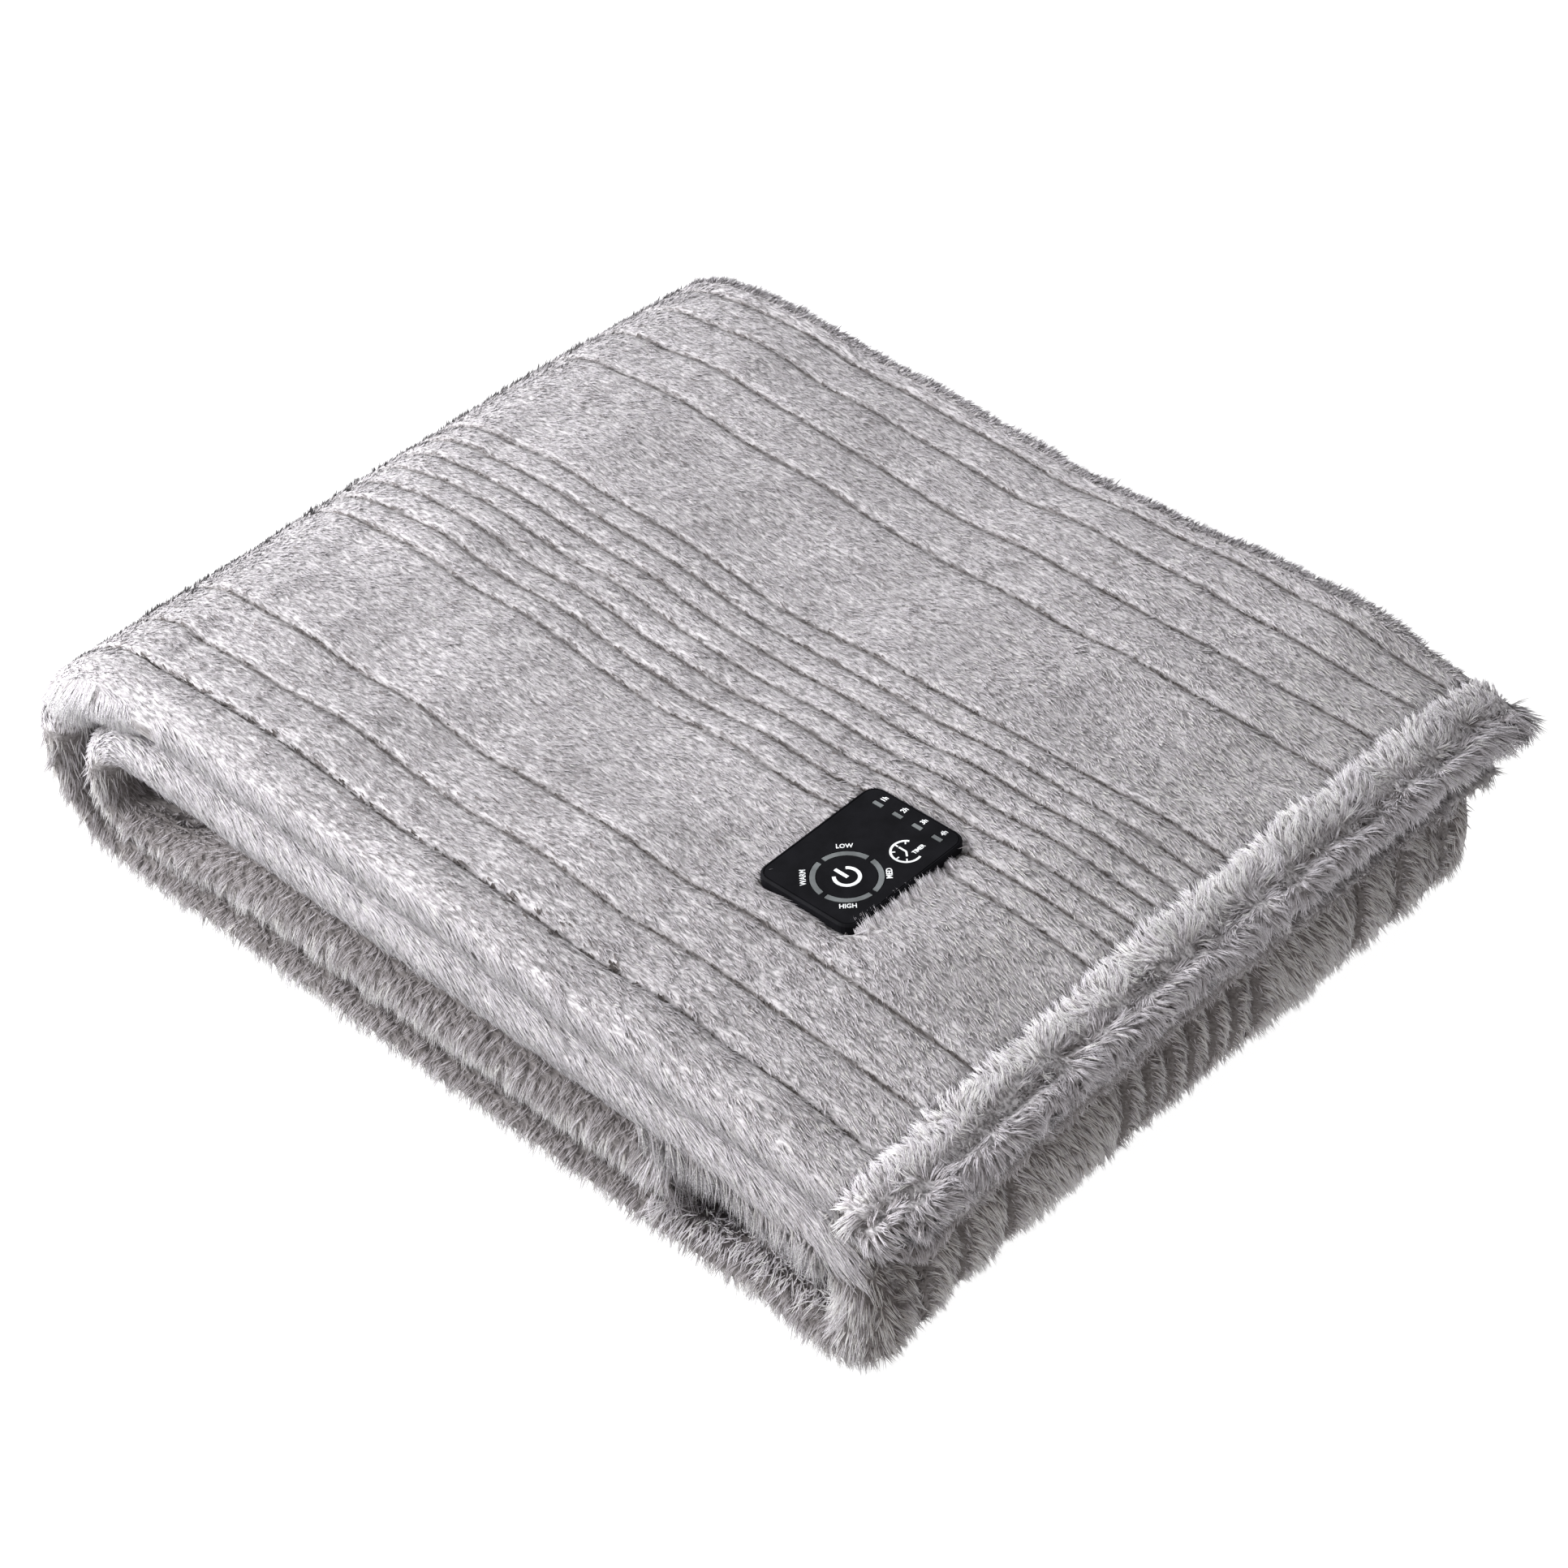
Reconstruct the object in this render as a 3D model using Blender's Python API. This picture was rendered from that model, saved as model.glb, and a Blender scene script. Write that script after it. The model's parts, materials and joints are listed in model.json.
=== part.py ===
"""Folded heated throw with a touch control panel, as plain solids in metres, +Z up.

The throw is one cloth. It is folded in quarters across its ribs, then rolled over itself
along them in four layers, so its section across the ribs is carried along a spiral path.
Frame: origin on the floor under the middle of the stack, +X along the ribs toward the hem
that ends the top layer, +Y across the ribs toward the open edges.
"""
import math
from collections import namedtuple

import bpy
import bmesh
import numpy as np
from mathutils import Matrix, Vector
from mathutils.geometry import tessellate_polygon

# Driving dimensions
CUT_LENGTH = 1.524        # opened out, along the ribs
CUT_WIDTH = 1.270         # opened out, across the ribs
SHEET = 0.0049            # cloth and pile of one sheet, pressed flat in the stack
SHEET_GAP = 0.0007        # air between two sheets of one layer
LAYER_GAP = 0.0011        # air between two layers
FIT_GAP = 0.0003          # play around each piece of the control panel

# Across the ribs
SIDE_FOLD_INSET = 0.006   # the inner fold of the open side lies this far in
SIDE_HEM_INSET = 0.014    # and so does the lower side hem
RIB_DEPTH = 0.0017
RIB_HALF_WIDTH = 0.0019
RIB_PITCH = 0.0114        # of the narrow ribs
WIDE_PITCH = 0.0236       # of the wide ribs
PLAIN_BAND = 0.0580       # between the narrow and the wide ribs
RIB_MIDDLE = -0.0060      # Y of the middle groove
SIDE_STITCH_Y = 0.1515    # stitched line of the side hem

# Along the ribs
HEM_X = 0.2060            # end of the top layer
LEFT_FOLD_X = -0.1640     # middle of the outer fold at the left
RIGHT_FOLD_X = 0.1640     # middle of the fold under the hem
INNER_FOLD_X = -0.1600    # middle of the inner fold at the left
HEM_WIDTH = 0.0245        # of the puffed welt, from its stitched line to its edge
HEM_LIP = 0.0140          # the middle sheets stop this far short of the welt's edge
STITCH_DEPTH = 0.0016
WELT_RISE = 0.0012

# Each layer's thickness against one that lies free: at the left, in the middle and beyond
# the end of the third layer, counted from the top of the stack
SQUASH = {
    "top": (1.06, 1.06, 1.06),
    "second": (0.92, 1.01, 1.30),
    "third": (0.66, 1.24, 1.24),
    "bottom": (0.70, 0.76, 1.08),
}
LEFT_END = (-0.150, -0.085)      # X over which the squash changes at the left
RIGHT_END = (0.118, 0.150)       # and beyond the third layer

# How far the top of the stack lies above its mean height, over a grid of X and Y
RISE_X = (-0.205, -0.130, 0.000, 0.130, 0.208)
RISE_Y = (-0.168, -0.080, 0.000, 0.080, 0.168)
RISE = (
    (-0.004, 0.000, -0.004, -0.009, -0.013),
    (-0.003, 0.003, 0.000, 0.001, -0.006),
    (0.000, 0.005, 0.000, 0.004, -0.002),
    (0.001, 0.006, 0.000, 0.003, -0.001),
    (-0.002, 0.004, 0.000, 0.005, -0.005),
)
CORNER_FLARE = 0.006      # of the lower layers at the front corner, along X and Y
FOLD_SQUARE = 0.78        # squareness of the fold under the hem, 1 where it is round

# Control panel, X by Y, measured from its own middle
PANEL_AT = (0.0933, -0.0554)
PANEL_SIZE = (0.0424, 0.0590)
PANEL_CORNER = 0.0054
PANEL_SUNK = 0.0030       # of the housing in the cloth
PANEL_PROUD = 0.0016      # of the housing above the cloth
PANEL_BEVEL = 0.0007
FACE_RIM = 0.0010         # of the housing around the face
FACE_THICKNESS = 0.0012
RING_AT = (0.0033, -0.0109)
RING_RADIUS = 0.0114
RING_BAND = 0.0019
RING_SPLIT = 0.0021       # between two heat lights
HEAT_LIGHTS = ("med", "low", "warm", "high")     # by quadrant, from +X +Y on
TIMER_AT = (-0.0128, 0.0225)                     # middle of the first timer light
TIMER_PITCH = 0.0087
TIMER_SIZE = (0.0039, 0.0015)
TIMER_LIGHTS = ("1h", "2h", "3h", "4h")

LAYER = 4 * SHEET + 3 * SHEET_GAP
OUTER_N = 1.5 * (SHEET + SHEET_GAP)
INNER_N = 0.5 * (SHEET + SHEET_GAP)
SIDE_TURNS = math.pi * (OUTER_N + 2 * INNER_N)
HALF_WIDTH = (CUT_WIDTH - SIDE_TURNS + 2 * LAYER + 2 * (SIDE_FOLD_INSET + INNER_N + SHEET / 2)
              + SIDE_HEM_INSET) / 8
TURN_Y = -HALF_WIDTH + LAYER / 2
FOLD_Y = HALF_WIDTH - SIDE_FOLD_INSET - INNER_N - SHEET / 2
LOW_HEM_Y = HALF_WIDTH - SIDE_HEM_INSET

SECOND_TOP = LAYER * sum(SQUASH[key][1] for key in ("bottom", "third", "second")) + 2 * LAYER_GAP
STACK = SECOND_TOP + LAYER_GAP + SQUASH["top"][1] * LAYER

MATERIALS = {
    # slot: (base colour, roughness, metallic)
    "plush": ((0.50, 0.48, 0.49), 0.95, 0.0),
    "panel_black": ((0.012, 0.012, 0.014), 0.45, 0.0),
    "panel_gloss": ((0.010, 0.010, 0.012), 0.22, 0.0),
    "light_window": ((0.22, 0.24, 0.25), 0.40, 0.0),
}


def clear_scene():
    for old in list(bpy.data.objects):
        bpy.data.objects.remove(old, do_unlink=True)


def smooth(x, start, end):
    """0 before start, 1 after end, with an even ramp between."""
    t = np.clip((np.asarray(x, float) - start) / (end - start), 0.0, 1.0)
    return t * t * (3 - 2 * t)


def material(slot):
    found = bpy.data.materials.get(slot)
    if found:
        return found
    colour, roughness, metallic = MATERIALS[slot]
    made = bpy.data.materials.new(slot)
    made.use_nodes = True
    shader = made.node_tree.nodes["Principled BSDF"]
    shader.inputs["Base Color"].default_value = (*colour, 1.0)
    shader.inputs["Roughness"].default_value = roughness
    shader.inputs["Metallic"].default_value = metallic
    made.diffuse_color = (*colour, 1.0)
    return made


def add_object(name, verts, faces, slot):
    mesh = bpy.data.meshes.new(name)
    mesh.from_pydata([tuple(v) for v in verts], [], faces)
    mesh.validate()
    body = bmesh.new()
    body.from_mesh(mesh)
    bmesh.ops.recalc_face_normals(body, faces=body.faces)
    body.to_mesh(mesh)
    body.free()
    made = bpy.data.objects.new(name, mesh)
    bpy.context.scene.collection.objects.link(made)
    mesh.materials.append(material(slot))
    return made


# --- the layers' path along the ribs -------------------------------------------------

def squash(layer, x):
    left, middle, right = SQUASH[layer]
    return float(left + (middle - left) * smooth(x, *LEFT_END)
                 + (right - middle) * smooth(x, *RIGHT_END))


def level(layer, x):
    """Height of a layer's middle and its squash, where it runs straight."""
    q = squash(layer, x)
    if layer == "top":
        return STACK - q * LAYER / 2, q
    if layer == "second":
        return SECOND_TOP - q * LAYER / 2, q
    if layer == "third":
        return squash("bottom", x) * LAYER + LAYER_GAP + q * LAYER / 2, q
    return q * LAYER / 2, q


def straight_run(layer, x_from, x_to, steps):
    """Rows (x, z, nx, nz, squash) along a layer. Its outer side is up where it runs back."""
    up = 1.0 if x_to < x_from else -1.0
    rows = []
    for x in np.linspace(x_from, x_to, steps + 1):
        z, q = level(layer, x)
        rows.append((x, z, 0.0, up, q))
    return rows


def fold_run(layer_from, layer_to, x, side, square, steps):
    """Rows around a fold at x, on the side given by -1 (left) or 1 (right)."""
    z_from, q_from = level(layer_from, x)
    z_to, q_to = level(layer_to, x)
    middle, reach = (z_from + z_to) / 2, abs(z_from - z_to) / 2
    way = 1 if z_from > z_to else -1
    rows = []
    for k in range(1, steps):
        angle = math.pi * k / steps
        s, c = math.sin(angle), math.cos(angle)
        out = side * s ** square
        up = way * math.copysign(abs(c) ** square, c)
        normal = Vector((side * s ** (2 - square), way * math.copysign(abs(c) ** (2 - square), c)))
        normal.normalize()
        q = q_from + (q_to - q_from) * float(smooth(k / steps, 0, 1))
        rows.append((x + reach * out, middle + reach * up, normal.x, normal.y, q))
    return rows


def spiral():
    """The path from the hem of the top layer inward, as rows with their run along it."""
    rows = straight_run("top", HEM_X, LEFT_FOLD_X, 120)
    rows += fold_run("top", "bottom", LEFT_FOLD_X, -1, 1.0, 60)
    rows += straight_run("bottom", LEFT_FOLD_X, RIGHT_FOLD_X, 110)
    rows += fold_run("bottom", "second", RIGHT_FOLD_X, 1, FOLD_SQUARE, 50)
    rows += straight_run("second", RIGHT_FOLD_X, INNER_FOLD_X, 110)
    rows += fold_run("second", "third", INNER_FOLD_X, -1, 1.0, 40)
    rows += straight_run("third", INNER_FOLD_X, 0.20, 120)
    rows = np.array(rows)
    steps = np.hypot(np.diff(rows[:, 0]), np.diff(rows[:, 1]))
    run = np.concatenate([[0.0], np.cumsum(steps)])
    return run, rows


RUN, PATH = spiral()


def stations():
    """Runs of the cross-sections: close at the hem and in the folds, sparse on the straights."""
    found = [0.0, 0.0012, 0.0045, 0.0110, HEM_WIDTH - 0.003, HEM_WIDTH, HEM_WIDTH + 0.003]
    found += [CUT_LENGTH - d for d in (0.0045, 0.0012, 0.0)]
    level_row = np.abs(PATH[:, 3]) == 1.0
    bends = np.flatnonzero(np.diff(level_row))
    straights = ((0, bends[0], (0.150, 0.130, 0.000, -0.130)),
                 (bends[1] + 1, bends[2], (-0.130, -0.085, 0.000, 0.118, 0.130, 0.150)),
                 (bends[3] + 1, bends[4], (0.150, 0.130, 0.118, 0.000, -0.085, -0.130)),
                 (bends[5] + 1, len(RUN) - 1, (-0.130, -0.085, 0.000)))
    for first, last, places in straights:
        xs, runs = PATH[first:last + 1, 0], RUN[first:last + 1]
        order = np.argsort(xs)
        found += [float(np.interp(x, xs[order], runs[order])) for x in places]
    for first, last, count in zip(bends[0::2], bends[1::2] + 1, (10, 9, 7)):
        found += list(np.linspace(RUN[first], RUN[last], count))
    return sorted(found)


# --- the cloth's section across the ribs ----------------------------------------------

# A point of the section: middle line (y, n), direction of the first face (ny, nn), run t
# from the top hem, groove share, share of the hem's puff, set-back and thickness share.
Point = namedtuple("Point", "y n ny nn t groove puff inset thick")
GRID_Y = (-0.080, 0.000, 0.080)
HEM_ROWS = [(HALF_WIDTH, 0, 0.40), (HALF_WIDTH - 0.0014, 0, 0.90), (HALF_WIDTH - 0.005, 0, 1)]


def groove_lines():
    """Y of the grooves between the ribs on the outer sheet, the last one at the side hem."""
    narrow = [RIB_MIDDLE + RIB_PITCH * k for k in range(-3, 4)]
    front = [narrow[0] - PLAIN_BAND - WIDE_PITCH * k for k in range(3)]
    back = [narrow[-1] + PLAIN_BAND + WIDE_PITCH * k for k in range(3)]
    return sorted(front + narrow + back + [SIDE_STITCH_Y])


def ribbed_rows():
    """(y, groove share, thickness share) across the outer sheet, from the top hem on."""
    rows = HEM_ROWS + [(y, 0, 1) for y in GRID_Y]
    for y in reversed(groove_lines()):
        rows += [(y + RIB_HALF_WIDTH, 0, 1), (y, 1, 1), (y - RIB_HALF_WIDTH, 0, 1)]
    return sorted(rows, reverse=True)


class Walk:
    """Points along one face of the folded sheet, as its middle line is followed."""

    def __init__(self):
        self.points = []
        self.run = 0.0
        self.y = HALF_WIDTH

    def flat(self, rows, n, up, puff, inset):
        for y, groove, thick in rows:
            self.run += abs(y - self.y)
            self.y = y
            self.points.append(Point(y, n, 0.0, up, self.run, groove, puff(y), inset(y), thick))

    def turn(self, y, n, radius, start, way, steps, puff, inset):
        self.run += abs(y - self.y)
        self.y = y
        for k in range(steps + 1):
            share = k / steps
            angle = start + way * math.pi * share
            c, s = math.cos(angle), math.sin(angle)
            self.points.append(Point(y + radius * c, n + radius * s, way * c, way * s,
                                     self.run + radius * math.pi * share, 0, puff,
                                     inset(share), 1))
        self.run += radius * math.pi


def face(first):
    """One face of the section, from the top hem through both folds to the low hem."""
    there = [(y, 0, 1) for y in GRID_Y]
    back = there[::-1]
    low_hem = [(LOW_HEM_Y - 0.005, 0, 1), (LOW_HEM_Y - 0.0014, 0, 0.90), (LOW_HEM_Y, 0, 0.40)]
    quarter = math.pi / 2
    fold_n = -(OUTER_N + INNER_N) / 2
    none, full = (lambda y: 0.0), (lambda y: 1.0)
    walk = Walk()
    walk.flat(ribbed_rows() if first else HEM_ROWS + back, OUTER_N, 1, full, none)
    walk.turn(TURN_Y, 0.0, OUTER_N, quarter, 1, 6 if first else 4, 1.0,
              lambda t: 0.6 * math.sin(math.pi * t))
    walk.flat(there, -OUTER_N, -1, lambda y: 1.0 if y < 0.05 else 0.0, none)
    walk.turn(FOLD_Y, fold_n, INNER_N, -quarter, 1, 3 if first else 2, 0.0,
              lambda t: 0.5 + 0.5 * t)
    walk.flat(back, -INNER_N, 1, none, full)
    walk.turn(TURN_Y, 0.0, INNER_N, -quarter, -1, 2 if first else 4, 0.0, full)
    walk.flat(there + low_hem, INNER_N, -1, none, full)
    return walk.points


FIRST = np.array(face(True))
SECOND = np.array(face(False))


# --- the cloth -------------------------------------------------------------------------

def along(run):
    """Path rows (x, z, nx, nz, squash) at the given runs."""
    return [np.interp(run, RUN, PATH[:, k]) for k in range(5)]


def places(points, run):
    """Run along the path of each point of a station; the set-back sheets lie further on."""
    return run + points[:, 7] * HEM_LIP * max(0.0, 1 - run / 0.030)


def offsets(points, first, run):
    """Distance of a face from the middle line at a station."""
    edge = min(run, CUT_LENGTH - run)
    blunt = float(np.interp(edge, (0.0, 0.0012, 0.0045, 0.0110), (0.30, 0.60, 0.90, 1.0)))
    swell = 1 - smooth(places(points, run), 0.004, HEM_LIP - 0.002)
    puff = points[:, 6] * swell * (OUTER_N - SHEET / 2 - SHEET_GAP)
    half = (SHEET + puff) / 2 * blunt * points[:, 8]
    if not first:
        return -puff / 2 - half
    ribbed = float(smooth(edge, HEM_WIDTH, HEM_WIDTH + 0.003))
    rise = WELT_RISE * math.sin(math.pi * min(run / HEM_WIDTH, 1.0))
    stitch = STITCH_DEPTH * max(0.0, 1 - abs(run - HEM_WIDTH) / 0.003)
    return (-puff / 2 + half - RIB_DEPTH * ribbed * points[:, 5]
            + points[:, 6] * (rise - stitch))


def between(value, knots):
    """Index and share of a value between the knots."""
    value = np.clip(value, knots[0], knots[-1])
    index = np.clip(np.searchsorted(knots, value, side="right") - 1, 0, len(knots) - 2)
    low, high = np.take(knots, index), np.take(knots, index + 1)
    return index, (value - low) / (high - low)


def settle(x, y, z):
    """The stack's own unevenness, more toward the top, and its flare at the front corner."""
    i, s = between(x, RISE_X)
    j, t = between(y, RISE_Y)
    rise = np.array(RISE)
    near = rise[j, i] * (1 - s) + rise[j, i + 1] * s
    far = rise[j + 1, i] * (1 - s) + rise[j + 1, i + 1] * s
    flare = CORNER_FLARE * smooth(x, 0.13, 0.20) * smooth(-y, 0.10, HALF_WIDTH) * (1 - z / STACK)
    return x + flare, y - flare, z * (1 + (near * (1 - t) + far * t) / STACK)


def face_at(points, first, run):
    """World points of one face of the section at a station."""
    x, z, nx, nz, share = along(places(points, run))
    off = offsets(points, first, run)
    n = (points[:, 1] + points[:, 3] * off) * share
    y = points[:, 0] + points[:, 2] * off
    return np.column_stack(settle(x + nx * n, y, z + nz * n))


def strip(runs_a, runs_b, start_b):
    """Triangles between the two faces of one station, by their runs."""
    faces, a, b = [], 0, 0
    while a < len(runs_a) - 1 or b < len(runs_b) - 1:
        step_a = a < len(runs_a) - 1 and (b == len(runs_b) - 1 or runs_a[a + 1] <= runs_b[b + 1])
        if step_a:
            tri = (a, a + 1, start_b + b)
            a += 1
        else:
            tri = (a, start_b + b + 1, start_b + b)
            b += 1
        faces.append(tri)
    return faces


def build_blanket():
    rings = [np.vstack([face_at(FIRST, True, s), face_at(SECOND, False, s)[::-1]])
             for s in stations()]
    count = len(rings[0])
    verts = np.vstack(rings)
    faces = []
    for k in range(len(rings) - 1):
        for j in range(count):
            i = (j + 1) % count
            faces.append((k * count + j, k * count + i, (k + 1) * count + i, (k + 1) * count + j))
    order = np.concatenate([np.arange(len(FIRST)), np.arange(count - 1, len(FIRST) - 1, -1)])
    cap = strip(FIRST[:, 4], SECOND[:, 4], len(FIRST))
    last = (len(rings) - 1) * count
    faces += [tuple(int(order[i]) for i in tri) for tri in cap]
    faces += [tuple(int(order[i]) + last for i in tri[::-1]) for tri in cap]
    return add_object("blanket", verts, faces, "plush")


# --- the control panel -------------------------------------------------------------------

def panel_frame():
    """Matrix of the panel's own axes, on the cloth's upper face and tilted with it."""
    x, y = PANEL_AT
    step = 0.02
    at, right, left, far, near = (Vector([float(c) for c in settle(x + i, y + j, STACK)])
                                  for i, j in ((0, 0), (step, 0), (-step, 0), (0, step), (0, -step)))
    up = (right - left).cross(far - near).normalized()
    across = up.cross(right - left).normalized()
    return Matrix.Translation(at) @ Matrix((across.cross(up), across, up)).transposed().to_4x4()


def rounded(size, corner, inset=0.0, steps=6):
    """Outline of a rectangle with round corners, counterclockwise."""
    reach = [extent / 2 - corner for extent in size]
    radius = corner - inset
    outline = []
    for quarter, (sx, sy) in enumerate(((1, 1), (-1, 1), (-1, -1), (1, -1))):
        for k in range(steps + 1):
            angle = math.pi / 2 * (quarter + k / steps)
            outline.append((sx * reach[0] + radius * math.cos(angle),
                            sy * reach[1] + radius * math.sin(angle)))
    return outline


def bar(at, size, spare=0.0):
    x, y = size[0] / 2 + spare, size[1] / 2 + spare
    return [(at[0] + i * x, at[1] + j * y) for i, j in ((-1, -1), (1, -1), (1, 1), (-1, 1))]


def arc(quarter, spare=0.0, steps=9):
    """Outline of one heat light of the ring."""
    cut = (RING_SPLIT / 2 - spare) / RING_RADIUS
    start, end = math.pi / 2 * quarter + cut, math.pi / 2 * (quarter + 1) - cut
    angles = [start + (end - start) * k / steps for k in range(steps + 1)]
    reach = RING_BAND / 2 + spare
    outline = []
    for radius, order in ((RING_RADIUS + reach, angles), (RING_RADIUS - reach, angles[::-1])):
        outline += [(RING_AT[0] + radius * math.cos(a), RING_AT[1] + radius * math.sin(a))
                    for a in order]
    return outline


def plate(name, slot, outline, holes, low, high):
    """A flat piece between two heights, pierced by the holes."""
    loops = [outline] + [hole[::-1] for hole in holes]
    flat = [point for loop in loops for point in loop]
    count = len(flat)
    verts = [(x, y, low) for x, y in flat] + [(x, y, high) for x, y in flat]
    tris = tessellate_polygon([[Vector((x, y, 0)) for x, y in loop] for loop in loops])
    faces = [tuple(tri) for tri in tris] + [tuple(i + count for i in tri[::-1]) for tri in tris]
    start = 0
    for loop in loops:
        for k in range(len(loop)):
            i, j = start + k, start + (k + 1) % len(loop)
            faces.append((i, j, j + count, i + count))
        start += len(loop)
    made = add_object(name, verts, faces, slot)
    made.data.transform(panel_frame())
    return made


def build_housing():
    """Tray with a bevelled edge, its recess for the face open at the top."""
    floor = PANEL_PROUD - FACE_THICKNESS - FIT_GAP
    rows = ((-PANEL_SUNK, PANEL_BEVEL), (-PANEL_SUNK + PANEL_BEVEL, 0.0),
            (PANEL_PROUD - PANEL_BEVEL, 0.0), (PANEL_PROUD, PANEL_BEVEL),
            (PANEL_PROUD, FACE_RIM), (floor, FACE_RIM))
    verts, faces = [], []
    for z, inset in rows:
        verts += [(x, y, z) for x, y in rounded(PANEL_SIZE, PANEL_CORNER, inset)]
    count = len(verts) // len(rows)
    for row in range(len(rows) - 1):
        for k in range(count):
            i, j = row * count + k, row * count + (k + 1) % count
            faces.append((i, j, j + count, i + count))
    faces.append(tuple(range(count))[::-1])
    faces.append(tuple(range((len(rows) - 1) * count, len(rows) * count)))
    made = add_object("panel_housing", verts, faces, "panel_black")
    made.data.transform(panel_frame())
    return made


def timer_places():
    return [(TIMER_AT[0] + TIMER_PITCH * k, TIMER_AT[1]) for k in range(len(TIMER_LIGHTS))]


def build_face():
    holes = [arc(quarter, FIT_GAP) for quarter in range(4)]
    holes += [bar(at, TIMER_SIZE, FIT_GAP) for at in timer_places()]
    outline = rounded(PANEL_SIZE, PANEL_CORNER, FACE_RIM + FIT_GAP)
    plate("panel_face", "panel_gloss", outline, holes, PANEL_PROUD - FACE_THICKNESS, PANEL_PROUD)


def build_lights():
    low = PANEL_PROUD - FACE_THICKNESS
    for quarter, label in enumerate(HEAT_LIGHTS):
        plate(f"heat_light_{label}", "light_window", arc(quarter), [], low, PANEL_PROUD)
    for at, label in zip(timer_places(), TIMER_LIGHTS):
        plate(f"timer_light_{label}", "light_window", bar(at, TIMER_SIZE), [], low, PANEL_PROUD)


def cut_pocket(blanket):
    """Recess in the cloth for the housing, with play all round."""
    size = tuple(extent + 2 * FIT_GAP for extent in PANEL_SIZE)
    cutter = plate("pocket_cutter", "plush", rounded(size, PANEL_CORNER + FIT_GAP), [],
                   -PANEL_SUNK - FIT_GAP, 0.012)
    cutter.hide_render = True
    cutter.display_type = "WIRE"
    cut = blanket.modifiers.new("pocket", "BOOLEAN")
    cut.operation = "DIFFERENCE"
    cut.solver = "EXACT"
    cut.object = cutter


def centre(footprint):
    """Moves every piece so that the origin lies under the middle of the cloth's box."""
    low = [min(v.co[axis] for v in footprint.data.vertices) for axis in (0, 1)]
    high = [max(v.co[axis] for v in footprint.data.vertices) for axis in (0, 1)]
    shift = Matrix.Translation((-(low[0] + high[0]) / 2, -(low[1] + high[1]) / 2, 0.0))
    for made in bpy.context.scene.objects:
        made.data.transform(shift)


def main():
    clear_scene()
    blanket = build_blanket()
    cut_pocket(blanket)
    build_housing()
    build_face()
    build_lights()
    centre(blanket)


main()
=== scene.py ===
"""Folded heated throw: plush cloth with sheared grooves, its pile, and the touch panel's print.

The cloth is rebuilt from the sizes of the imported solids, finer, and carries its pile as
joined meshes of tapered hairs. +X runs along the ribs to the hem, +Y across them, +Z up.
"""
import json
import math
from collections import namedtuple

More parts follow.
